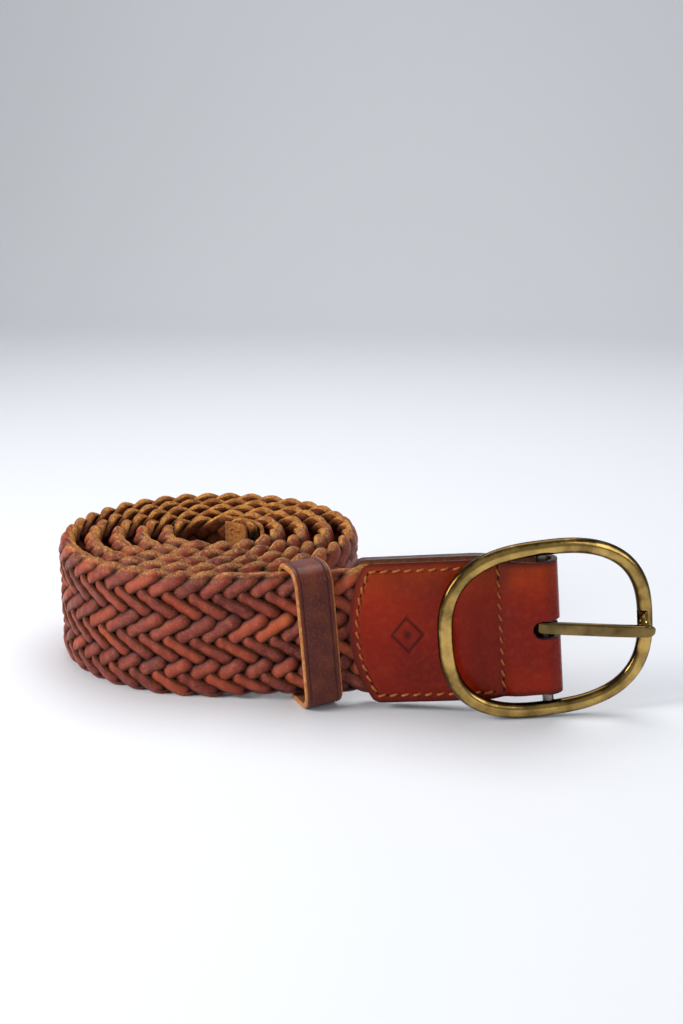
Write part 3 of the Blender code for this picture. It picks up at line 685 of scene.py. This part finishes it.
def outer_depth(x):
    """Outer face of a leaf from the middle plane: pinched at the seam, full round the bar."""
    pinch = 1.25 * np.exp(-((x - along(SEAM_X)) / 2.6) ** 2)
    puff = 0.75 * smoothstep((x - along(SEAM_X) - 1.0) / 7.0)
    return LEAF_GAP + LEAF - pinch + puff


def end_curve(apex, w, inset=0.0):
    """The leaf's rounded end with its small corners: x at height w, moved in by inset."""
    half, corner = CHAPE_W / 2 - inset, max(CORNER - inset, 0.3)
    over = np.clip(np.abs(w) - (half - corner), 0, corner)
    round_off = corner - np.sqrt(np.maximum(corner ** 2 - over ** 2, 0))
    return apex + inset + SAG * (w / (CHAPE_W / 2)) ** 2 + round_off


def chape_columns(x_break, bar):
    """The sheet's columns from the front leaf's end, round the bar, to the back leaf's end."""
    u = np.linspace(0, 1, 90)
    u = 0.5 * u + 0.5 * u ** 1.4
    flat = np.linspace(x_break, bar, 46)
    arc = np.linspace(-math.pi / 2, math.pi / 2, 26)[1:-1]
    return ([("end", share, -1) for share in u] + [("x", x, -1) for x in flat[1:]]
            + [("arc", a, 0) for a in arc]
            + [("x", x, 1) for x in flat[::-1][:-1]] + [("end", share, 1) for share in u[::-1]])


def chape_column(kind, value, sign, v_rows, x_break, fold_r):
    """x, w and the distance to the nearest edge for one column; y too where it goes round the bar."""
    bar = along(BAR_X)
    if kind == "end":
        w = v_rows * CHAPE_W / 2
        xe = end_curve(along(FRONT_END) if sign < 0 else along(BACK_END), w)
        x = xe + (x_break - xe) * value
        return x, None, w, np.minimum((x - xe) * 0.93, CHAPE_W / 2 - np.abs(w))
    half = chape_half(np.array([value if kind == "x" else bar]))[0]
    w = v_rows * half
    if kind == "x":
        return np.full(len(w), value), None, w, half - np.abs(w)
    x, y = bar + fold_r * math.cos(value), fold_r * math.sin(value)
    return np.full(len(w), x), np.full(len(w), y), w, half - np.abs(w)


def build_chape():
    bar, seam = along(BAR_X), along(SEAM_X)
    x_break = seam - FOLD_TAPER
    fold_r = float(outer_depth(np.array([bar]))[0])
    half_fold = FOLD_W / 2
    # 36 rows above and below the slot and 13 across it
    low, high = -SLOT_R - SLOT_DROP, SLOT_R - SLOT_DROP
    v_rows = np.concatenate([np.linspace(-1, low / half_fold, 36)[:-1], np.linspace(low, high, 13) / half_fold,
                             np.linspace(high / half_fold, 1, 36)[1:]])
    slot_first, slot_last = 35, 47
    slot_x = bar - SLOT_REACH
    cols = chape_columns(x_break, bar)
    rows = len(v_rows)
    pos = np.zeros((len(cols), rows, 3))
    edge = np.zeros((len(cols), rows))
    face = np.zeros((len(cols), rows))
    for c, (kind, value, sign) in enumerate(cols):
        x, y, w, dist = chape_column(kind, value, sign, v_rows, x_break, fold_r)
        if sign:
            # the columns beside the slot bend round its end
            from_slot = w + SLOT_DROP
            near = np.abs(from_slot) <= SLOT_R + 1e-6
            want = slot_x + SLOT_R - np.sqrt(np.maximum(SLOT_R ** 2 - from_slot ** 2, 0))
            k = smoothstep((x - (slot_x - 5.0)) / (SLOT_R + 5.0)) * (x <= slot_x + SLOT_R + 0.3)
            x = np.where(near & (x > slot_x - 5.0), x - k * (slot_x + SLOT_R - want), x)
            groove = 0.22 * np.exp(-((dist - STITCH_INSET) / 0.55) ** 2) * (x < seam - 1.5)
            slope = 0.30 * np.exp(-np.maximum(dist, 0) / 0.9)
            cross = 0.22 * np.exp(-((x - seam) / 0.7) ** 2) * (np.abs(w) < HALF_W)
            loose = 0.12 * np.sin(x * 0.13 + 1.0) * np.cos(w * 0.11) * smoothstep(dist / 6)
            y = sign * (outer_depth(x) - groove - slope - cross + loose)
        pos[c] = np.stack([x, y, w], -1)
        edge[c] = dist
        face[c] = sign
    # the slot leaves out the faces between its first column in front and its last behind
    past_end = [i for i, (kind, value, _) in enumerate(cols)
                if kind == "x" and value >= slot_x + SLOT_R - 0.25]
    first = min(i for i in past_end if cols[i][2] == -1)
    last = max(i for i in past_end if cols[i][2] == 1)
    faces = [(c * rows + r, c * rows + r + 1, (c + 1) * rows + r + 1, (c + 1) * rows + r)
             for c in range(len(cols) - 1) for r in range(rows - 1)
             if not (slot_first <= r < slot_last and first <= c < last)]
    used = sorted({i for f in faces for i in f})
    remap = {old: new for new, old in enumerate(used)}
    faces = [tuple(remap[i] for i in f) for f in faces]
    pos, edge, face = pos.reshape(-1, 3)[used], edge.reshape(-1)[used], face.reshape(-1)[used]
    # a plain diamond with a dot, pressed into the front leaf
    across, up = (pos[:, 0] - along(80.5)) / 5.2, (pos[:, 2] + 0.5) / 6.0
    diamond = np.exp(-((np.abs(across) + np.abs(up) - 1.0) / 0.11) ** 2)
    mark = np.maximum(diamond, np.exp(-(np.hypot(across, up) / 0.26) ** 2)) * (face < 0)
    mesh = bpy.data.meshes.new("chape_leather_folded")
    mesh.from_pydata((place(END, pos) * MM).tolist(), [], faces)
    # high grows toward the top; the chape material paints a highlight there
    set_values(mesh, edge=edge, high=np.clip(0.5 + pos[:, 2] / 48.0, 0, 1), mark=mark)
    for mat in (CHAPE, LINING, PAINT):
        mesh.materials.append(mat)
    mesh.shade_smooth()
    mesh.update()
    # a face of the front leaf has to point to -Y
    if mesh.polygons[len(faces) // 8].normal.y > 0:
        mesh.flip_normals()
    obj = add_object("chape_leather_folded", mesh)
    sheet_thickness(obj, LEAF)
    b = obj.modifiers.new("edges", "BEVEL")
    b.width = 0.55 * MM
    b.segments = 3
    b.limit_method = "ANGLE"
    b.angle_limit = math.radians(50)
    b.material = 2
    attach(obj, "belt")
    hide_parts("chape_leather")


build_chape()


STITCH_LENGTH = 0.78    # share of the pitch
HOLE_SIDES = 12


def stitches(name, centres, normals, body, pitch, replaces, slant=0.22, radius=0.44):
    """A row of separate stitches, each sinking at both ends, and dark discs of painted shade for the holes
    between them.
    """
    d = run_length(centres)
    count = max(2, int(round(d[-1] / pitch)))
    step = d[-1] / count

    def at(s):
        return resample(s, d, centres), unit(resample(s, d, normals))

    ring = np.linspace(0, 2 * math.pi, 9)[:-1]
    q = np.linspace(-0.5, 0.5, 9)
    verts, faces = [], []
    for i in range(count):
        p, nrm = at((i + 0.5) * step + q * step * STITCH_LENGTH)
        tan = tangents(p)
        side = unit(np.cross(nrm, tan))
        lean = slant * (1 + 0.15 * rng.uniform(-1, 1))
        p = p + side * (q * step * lean)[:, None]
        rise = 0.34 - 1.15 * (2 * np.abs(q)) ** 3.0
        p = p + nrm * rise[:, None]
        tan = tangents(p)
        side = unit(np.cross(nrm, tan))
        top = unit(np.cross(tan, side))
        swell = radius * (1 - 0.25 * (2 * np.abs(q)) ** 4)
        sec = np.stack([np.cos(ring), np.sin(ring) * 0.8], -1)[None] * swell[:, None, None]
        v, f, _ = tube(p, side, top, sec)
        faces += [tuple(a + len(verts) for a in g) for g in f]
        verts += list(v)
    # dark discs: painted shade in the stitch holes
    hole_verts, hole_faces = [], []
    a = np.linspace(0, 2 * math.pi, HOLE_SIDES + 1)[:-1]
    for i in range(count + 1):
        s = min(max(i * step, 0.15), d[-1] - 0.15)
        p, nrm = at(np.array([s - 0.1, s, s + 0.1]))
        c, nr = p[1], nrm[1]
        tan = unit(p[2] - p[0])
        side = unit(np.cross(nr, tan))
        disc = c + nr * 0.035 + np.outer(np.cos(a), tan) * step * 0.19 + np.outer(np.sin(a), side) * 0.42
        o = len(hole_verts)
        hole_verts += [c + nr * 0.05, *disc]
        hole_faces += [(o, o + 1 + b, o + 1 + (b + 1) % HOLE_SIDES) for b in range(HOLE_SIDES)]
    obj = make_mesh(name, verts, faces, (THREAD,), body)
    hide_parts(replaces)
    holes = bpy.data.meshes.new(name + "_holes")
    holes.from_pydata((np.array(hole_verts) * MM).tolist(), [], hole_faces)
    holes.materials.append(HOLE)
    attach(add_object(name + "_holes", holes), body)


THREAD_SINK = 0.22      # the rows lie this deep in the leather


def chape_rows():
    seam = along(SEAM_X)
    for side, sign, apex in (("front", -1, along(FRONT_END)), ("back", 1, along(BACK_END))):
        # the rim row: along the lower edge, round the end and back along the upper edge
        half = CHAPE_W / 2 - STITCH_INSET
        w = -half * np.cos(np.linspace(0, math.pi, 160))
        xe = end_curve(apex, w, STITCH_INSET)
        row_end = seam - 3.2
        xs = np.concatenate([np.linspace(row_end, xe[0], 40)[:-1], xe, np.linspace(xe[-1], row_end, 40)[1:]])
        ws = np.concatenate([np.full(39, w[0]), w, np.full(39, w[-1])])
        pts = place(END, np.stack([xs, sign * (outer_depth(xs) - THREAD_SINK), ws], -1))
        nrm = np.tile([0.0, sign, 0.0], (len(pts), 1))
        if sign > 0:
            pts, nrm = pts[::-1], nrm[::-1]
        stitches(side + "_edge_stitches", pts, nrm, "belt", 4.0, side + "_edge_stitching")
        # the cross row, beside the bar
        reach = float(chape_half(np.array([seam]))[0]) - 2.4
        w = np.linspace(reach, -reach, 60)
        x = np.full(60, seam)
        pts = place(END, np.stack([x, sign * (outer_depth(x) - THREAD_SINK), w], -1))
        stitches(side + "_cross_stitches", pts, np.tile([0.0, sign, 0.0], (60, 1)), "belt", 3.8,
                 side + "_cross_stitching", slant=0.34, radius=0.42)


chape_rows()


# ------------------------------------------------------------------ the keeper
KEEPER_CORNER = 5.0


def keeper_outline(half_y, half_z):
    """Middle line of the loop: straight sides with rounded corners over the strap's edges."""
    pts = []
    sides = ((1, 1, 0), (-1, 1, 90), (-1, -1, 180), (1, -1, 270))

    def corner_point(sy, sz, q):
        return (sy * (half_y - KEEPER_CORNER) + KEEPER_CORNER * math.cos(q),
                sz * (half_z - KEEPER_CORNER) + KEEPER_CORNER * math.sin(q))

    for (sy, sz, deg), (next_y, next_z, _) in zip(sides, sides[1:] + sides[:1]):
        pts += [corner_point(sy, sz, q) for q in np.radians(deg + np.linspace(0, 90, 22))]
        end, start = pts[-1], corner_point(next_y, next_z, math.radians(deg + 90))
        length = math.hypot(start[0] - end[0], start[1] - end[1])
        for u in np.linspace(0, 1, max(3, int(length / 1.2)))[1:-1]:
            pts.append((end[0] + (start[0] - end[0]) * u, end[1] + (start[1] - end[1]) * u))
    return np.array(pts)


def build_keeper():
    half_y = (KEEPER_IN + KEEPER_T) / 2
    half_z = HALF_W + HEADROOM + KEEPER_T / 2
    yz = keeper_outline(half_y, half_z)
    # the worn loop bulges a little on every side
    crown = 0.15 * np.exp(-(yz[:, 0] / 4.5) ** 2) * np.sign(yz[:, 1]) * (np.abs(yz[:, 1]) > half_z - 0.5)
    yz[:, 1] += crown
    bow = 0.35 * np.cos(yz[:, 1] / half_z * math.pi / 2) * np.sign(yz[:, 0]) * (np.abs(yz[:, 0]) > half_y - 1.5)
    yz[:, 0] += bow
    p = np.stack([np.zeros(len(yz)), yz[:, 0], yz[:, 1]], -1)
    wide = np.tile([1.0, 0.0, 0.0], (len(p), 1))
    out = unit(np.cross(tangents(p, closed=True), wide))
    out *= np.sign((out * p).sum(1))[:, None]
    hw, ht = KEEPER_W / 2, KEEPER_T / 2
    # the section, from the outer face round: 33 points on the face, 3 on each edge, 11 inside
    xs = np.concatenate([[-0.955, -0.90], np.linspace(-0.84, 0.84, 29), [0.90, 0.955]])
    edge_mm = (1 - np.abs(xs)) * hw
    crease = 0.13 * np.exp(-((edge_mm - CREASE_AT) / 0.28) ** 2)
    roundoff = 0.42 * np.exp(-edge_mm / 0.42)
    face = np.stack([xs * hw, ht - crease - roundoff], -1)
    right = np.array([(1.0, 0.28), (1.0, -0.30), (0.975, -0.72)]) * (hw, ht)
    low = np.stack([np.linspace(0.93, -0.93, 11) * hw, np.full(11, -ht)], -1)
    left = np.array([(-0.975, -0.72), (-1.0, -0.30), (-1.0, 0.28)]) * (hw, ht)
    sec = np.concatenate([face, right, low, left])
    kinds = np.array([1] + [0] * (len(xs) - 3) + [1] * 5 + [2] * 10 + [1] * 4)
    v, f, strip = tube(p, wide, out, sec, closed=True)
    edge = np.concatenate([edge_mm, np.zeros(3), np.full(11, 9.0), np.zeros(3)])
    obj = make_mesh("keeper_leather_loop", place(KEEPER, v), f, (KEEPER_FACE, KEEPER_RIM, LINING), "keeper",
                    kinds[strip], {"edge": np.tile(edge, len(p))})
    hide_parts("keeper_loop")
    staple = frame["nodes"]["keeper_staple"]
    staple.data.materials.clear()
    staple.data.materials.append(STEEL)


build_keeper()


# ------------------------------------------------------------------ the buckle
RING_POINTS, RING_SIDES = 560, 44
REST_HALF, REST_DEEP, REST_IN = 2.35, 1.35, 0.55     # the prong's rest in the outer rim


def build_ring():
    outline = superellipse(np.linspace(0, 2 * math.pi, 420, endpoint=False), RIM_LONG, RIM_TALL, RIM_POWER)
    closed = np.concatenate([outline, outline[:1]])
    d = run_length(closed)
    pts = resample(np.linspace(0, d[-1], RING_POINTS, endpoint=False), d, closed)
    p = np.stack([pts[:, 0], np.full(len(pts), -RIM_FWD), pts[:, 1]], -1)
    t = tangents(p, closed=True)
    front = np.tile([0.0, -1.0, 0.0], (len(p), 1))
    radial = unit(np.cross(front, t))
    radial *= np.sign((radial * p * (1.0, 0.0, 1.0)).sum(1))[:, None]
    angle = np.linspace(0, 2 * math.pi, RING_SIDES, endpoint=False)
    sec = superellipse(angle, RIM_W / 2, RIM_D / 2, 2.15)
    sec[:, 1] = np.where(sec[:, 1] < 0, sec[:, 1] * 0.92, sec[:, 1])
    # flank: share toward the ring's inner and outer sides, which the brass darkens, partly patina and partly
    # painted shade
    flank = np.clip((np.abs(np.cos(angle)) - 0.30) / 0.60, 0, 1)
    secs = np.broadcast_to(sec, (len(p),) + sec.shape).copy()
    # the rest for the prong: a half-round recess across the inner front of the outer rim
    high = p[:, 2]
    deep = np.sqrt(np.clip(1 - (high / REST_HALF) ** 2, 0, 1))
    for i in np.where((p[:, 0] > 0) & (np.abs(high) < REST_HALF + 0.25))[0]:
        inner = smoothstep((1.0 - secs[i, :, 0]) / 1.6) * (secs[i, :, 1] > -0.4)
        secs[i, :, 1] -= REST_DEEP * deep[i] * inner
        secs[i, :, 0] += REST_IN * deep[i] * inner * (secs[i, :, 0] < 0)
    v, f, _ = tube(p, radial, front, secs, closed=True)
    obj = make_mesh("brass_ring", place(PIVOT, v), f, (BRASS,), "buckle",
                    attrs={"flank": np.tile(flank, len(p))})
    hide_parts("buckle_frame")


build_ring()


def build_bar():
    half = RIM_TALL - RIM_W / 2 + SOCKET
    a = np.linspace(0, 2 * math.pi, 41)[:-1]
    p = np.linspace((0, 0, -half), (0, 0, half), 60)
    sec = np.stack([np.cos(a), np.sin(a)], -1) * BAR_R
    v, f, _ = tube(p, np.tile([1.0, 0, 0], (60, 1)), np.tile([0, 1.0, 0], (60, 1)), sec)
    obj = make_mesh("bar_rod", place(PIVOT, v), f, (STEEL,), "buckle", sharp=40)
    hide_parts("centre_bar")


build_bar()


def catmull(points, per):
    """A smooth line through the points, per steps from one to the next."""
    p = np.asarray(points, float)
    p = np.concatenate([[2 * p[0] - p[1]], p, [2 * p[-1] - p[-2]]])
    out = []
    for i in range(1, len(p) - 2):
        for u in np.linspace(0, 1, per, endpoint=False):
            a, b, c, d = p[i - 1], p[i], p[i + 1], p[i + 2]
            out.append(0.5 * (2 * b + (c - a) * u + (2 * a - 5 * b + 4 * c - d) * u * u
                              + (3 * b - a - 3 * c + d) * u ** 3))
    out.append(p[-2])
    return np.array(out)


BLUNT_FROM = 4.2     # the last part of the prong, rounded off


def build_prong():
    half = PRONG_HALF_T
    eye = BAR_R + PRONG_PLAY + half
    over = RIM_FWD + RIM_D / 2 + FIT_GAP + half
    # curled round the bar, straight across the ring, and bent over the outer rim
    pts = [(eye * math.cos(q), eye * math.sin(q)) for q in np.radians(np.linspace(-22, 270, 24))]
    end = RIM_LONG - RIM_W
    for s in (0.15, 0.35, 0.55, 0.75, 1.0):
        pts.append((end * s, -eye - (over - eye) * float(smoothstep(s))))
    bow_long, bow_deep = RIM_W / 2 + FIT_GAP + half, RIM_D / 2 + FIT_GAP + half
    last = math.asin((RIM_W / 2 + 0.8) / bow_long) * 0.70
    for s in (-0.45, 0.0, 0.35, 0.6, 0.8, 0.92, 1.0):
        pts.append((RIM_LONG + bow_long * math.sin(last * s), -RIM_FWD - bow_deep * math.cos(last * s)))
    xy = catmull(pts, 7)
    p = np.stack([xy[:, 0], xy[:, 1], np.zeros(len(xy))], -1)
    wide = np.tile([0.0, 0.0, 1.0], (len(p), 1))
    out = unit(np.cross(tangents(p), wide))
    d = run_length(p)
    rest = d[-1] - d
    blunt = np.sqrt(np.clip(1 - ((BLUNT_FROM - rest) / (BLUNT_FROM + 0.15)) ** 3, 0.02, 1))
    taper = np.where(rest < BLUNT_FROM, blunt, 1.0)
    sec = superellipse(np.linspace(0, 2 * math.pi, 36, endpoint=False), PRONG_W / 2, half, 5.5, 3.2)
    secs = sec[None] * np.stack([taper, 0.55 + 0.45 * taper], -1)[:, None, :]
    v, f, _ = tube(p, wide, out, secs)
    turn = Matrix.Translation((0, 0, PRONG_RAISE)) @ Matrix.Rotation(PRONG_DROOP, 4, "Y")
    obj = make_mesh("prong_pin", place(PIVOT @ turn, v), f, (PRONG_BRASS,), "prong", sharp=60)
    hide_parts("prong")


build_prong()


# ------------------------------------------------------------------ the leather tip inside the roll
def build_tip():
    """Two leaves over the braid's free end, each following the spiral, and their stitches."""
    end_r = COIL_R - COIL_P * COIL_TURNS
    last = 2 * math.pi * COIL_TURNS
    first = last - (TIP_LONG - TIP_PAST) / (end_r + COIL_P / 2)
    turn = last + TIP_PAST / end_r - first
    n, rows = 90, 41
    share = np.linspace(0, 1, n)
    point = TIP_POINT / TIP_LONG
    into = np.clip((share - (1 - point)) / point, 0, 1)
    width = np.maximum(0.30, (1 - into ** 2.4) ** (1 / 2.4))
    angle = first + turn * share
    base = spiral(angle)
    ahead = spiral(angle + 0.01) - spiral(angle - 0.01)
    normal = -unit(np.stack([ahead[:, 1], -ahead[:, 0]], -1))
    leaf_in = STRAP_HALF_T + FIT_GAP
    for side, sign in (("outer", 1), ("inner", -1)):
        w = np.linspace(-1, 1, rows)[None, :] * (TIP_HALF_W * width)[:, None]
        dist = np.minimum(TIP_HALF_W * width[:, None] - np.abs(w), ((1.0 - share) * TIP_LONG)[:, None])
        depth = (leaf_in + TIP_LEAF - 0.25 * np.exp(-dist / 0.8)
                 - 0.18 * np.exp(-((dist - STITCH_INSET) / 0.5) ** 2))
        xy = base[:, None, :] + normal[:, None, :] * (sign * depth)[..., None]
        verts = np.stack([xy[..., 0], xy[..., 1], HALF_W + w], -1).reshape(-1, 3)
        faces = [(i * rows + j, i * rows + j + 1, (i + 1) * rows + j + 1, (i + 1) * rows + j)
                 for i in range(n - 1) for j in range(rows - 1)]
        mesh = bpy.data.meshes.new("tip_leaf_" + side)
        mesh.from_pydata((verts * MM).tolist(), [], faces)
        # high: the outer leaf gets the chape material's painted highlight toward the top
        set_values(mesh, edge=dist, high=np.clip(0.5 + w / 48, 0, 1), mark=np.zeros(n * rows))
        for mat in (TIP_FACE if sign < 0 else CHAPE, LINING, TIP_FACE):
            mesh.materials.append(mat)
        mesh.shade_smooth()
        mesh.update()
        # a face in the middle has to point away from the strap
        middle = len(faces) // 2
        if np.dot(np.array(mesh.polygons[middle].normal)[:2], normal[middle // (rows - 1)]) * sign < 0:
            mesh.flip_normals()
        obj = add_object("tip_leaf_" + side, mesh)
        sheet_thickness(obj, TIP_LEAF)
        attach(obj, "belt")
        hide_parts("tip_%s_leaf" % side)
        # one row down one edge, round the point and back up the other
        row = 0.04 + (1 - STITCH_INSET / TIP_LONG - 0.04) * np.sin(np.linspace(0, math.pi / 2, 80))
        reach = (TIP_HALF_W - STITCH_INSET) * np.interp(row + STITCH_INSET / (2 * TIP_LONG), share, width)
        there_back = np.concatenate([row, row[::-1]])
        high = np.concatenate([reach, -reach[::-1]])
        out = unit(resample(there_back, share, normal)) * sign
        line = resample(there_back, share, base) + out * (leaf_in + TIP_LEAF - 0.18)
        pts = np.concatenate([line, (HALF_W + high)[:, None]], -1)
        nrm = np.concatenate([out, np.zeros((len(out), 1))], -1)
        keep = np.concatenate([[True], np.linalg.norm(np.diff(pts, axis=0), axis=1) > 1e-4])
        stitches("tip_%s_stitches" % side, pts[keep], nrm[keep], "belt", 4.0, "tip_%s_stitching" % side)


build_tip()


# ------------------------------------------------------------------ floor, light, camera
def floor_and_light():
    """A pale sweep: flat floor, quarter-round bend, upright backdrop; then soft lights."""
    floor = Tree("studio_floor")
    floor.done((0.78, 0.80, 0.84), 0.5, Specular_IOR_Level=0.15)
    front, bend_at, bend_r, half_x = -1400, 900, 400, 2600.0
    bend = np.linspace(0, math.pi / 2, 12)[1:]
    ys = list(np.linspace(front, bend_at, 20)) + [bend_at + bend_r * math.sin(a) for a in bend]
    ys += [bend_at + bend_r] * 3
    zs = [0.0] * 20 + [bend_r - bend_r * math.cos(a) for a in bend] + [800, 1400, 2200]
    verts = [(x, y, z - 0.02) for x in (-half_x, half_x) for y, z in zip(ys, zs)]
    k = len(ys)
    faces = [(i, k + i, k + i + 1, i + 1) for i in range(k - 1)]
    mesh = bpy.data.meshes.new("studio_floor")
    mesh.from_pydata([tuple(c * MM for c in v) for v in verts], [], faces)
    mesh.materials.append(floor.mat)
    mesh.shade_smooth()
    add_object("studio_floor", mesh)

    def area(name, place_mm, look_mm, size, energy, colour=(1, 1, 1)):
        light = bpy.data.lights.new(name, "AREA")
        light.shape = "RECTANGLE"
        light.size, light.size_y = size * MM, size * MM
        light.energy = energy
        light.color = colour
        o = bpy.data.objects.new(name, light)
        o.location = Vector(place_mm) * MM
        o.rotation_euler = (Vector(look_mm) - Vector(place_mm)).to_track_quat("-Z", "Y").to_euler()
        bpy.context.scene.collection.objects.link(o)

    area("key_softbox", (-620, -340, 400), (10, 10, 25), 340, 6.6, (1.0, 0.985, 0.96))
    area("top_softbox", (60, 330, 820), (40, 60, 10), 620, 4.8)
    area("backdrop_wash", (0, 620, 900), (0, 1250, 150), 700, 0.8)
    area("fill_right", (620, -300, 330), (60, 0, 25), 360, 0.8, (0.97, 0.985, 1.0))
    world = bpy.data.worlds.new("studio")
    world.use_nodes = True
    sky = world.node_tree.nodes["Background"]
    sky.inputs["Color"].default_value = (0.93, 0.95, 0.97, 1)
    sky.inputs["Strength"].default_value = 0.32
    bpy.context.scene.world = world
    bpy.context.scene.view_settings.view_transform = "Standard"


FOCAL, FRAME_HEIGHT, SENSOR = 1395.3, 1024, 36.0    # focal length and height of the frame in its own units
CAMERA_PLACE, CAMERA_YAW, CAMERA_PITCH = (114.3, -443.1, 191.1), math.radians(-7.3), math.radians(15.35)


def camera():
    cam = bpy.data.cameras.new("camera")
    cam.sensor_fit = "VERTICAL"
    cam.sensor_height = SENSOR
    cam.lens = FOCAL / FRAME_HEIGHT * SENSOR
    cam.clip_start = 0.01
    cam.clip_end = 20
    o = bpy.data.objects.new("camera", cam)
    yaw, pitch = CAMERA_YAW, CAMERA_PITCH
    fw = Vector((math.sin(yaw) * math.cos(pitch), math.cos(yaw) * math.cos(pitch), -math.sin(pitch)))
    o.location = Vector(CAMERA_PLACE) * MM
    o.rotation_euler = fw.to_track_quat("-Z", "Y").to_euler()
    bpy.context.scene.collection.objects.link(o)
    bpy.context.scene.camera = o


floor_and_light()
camera()
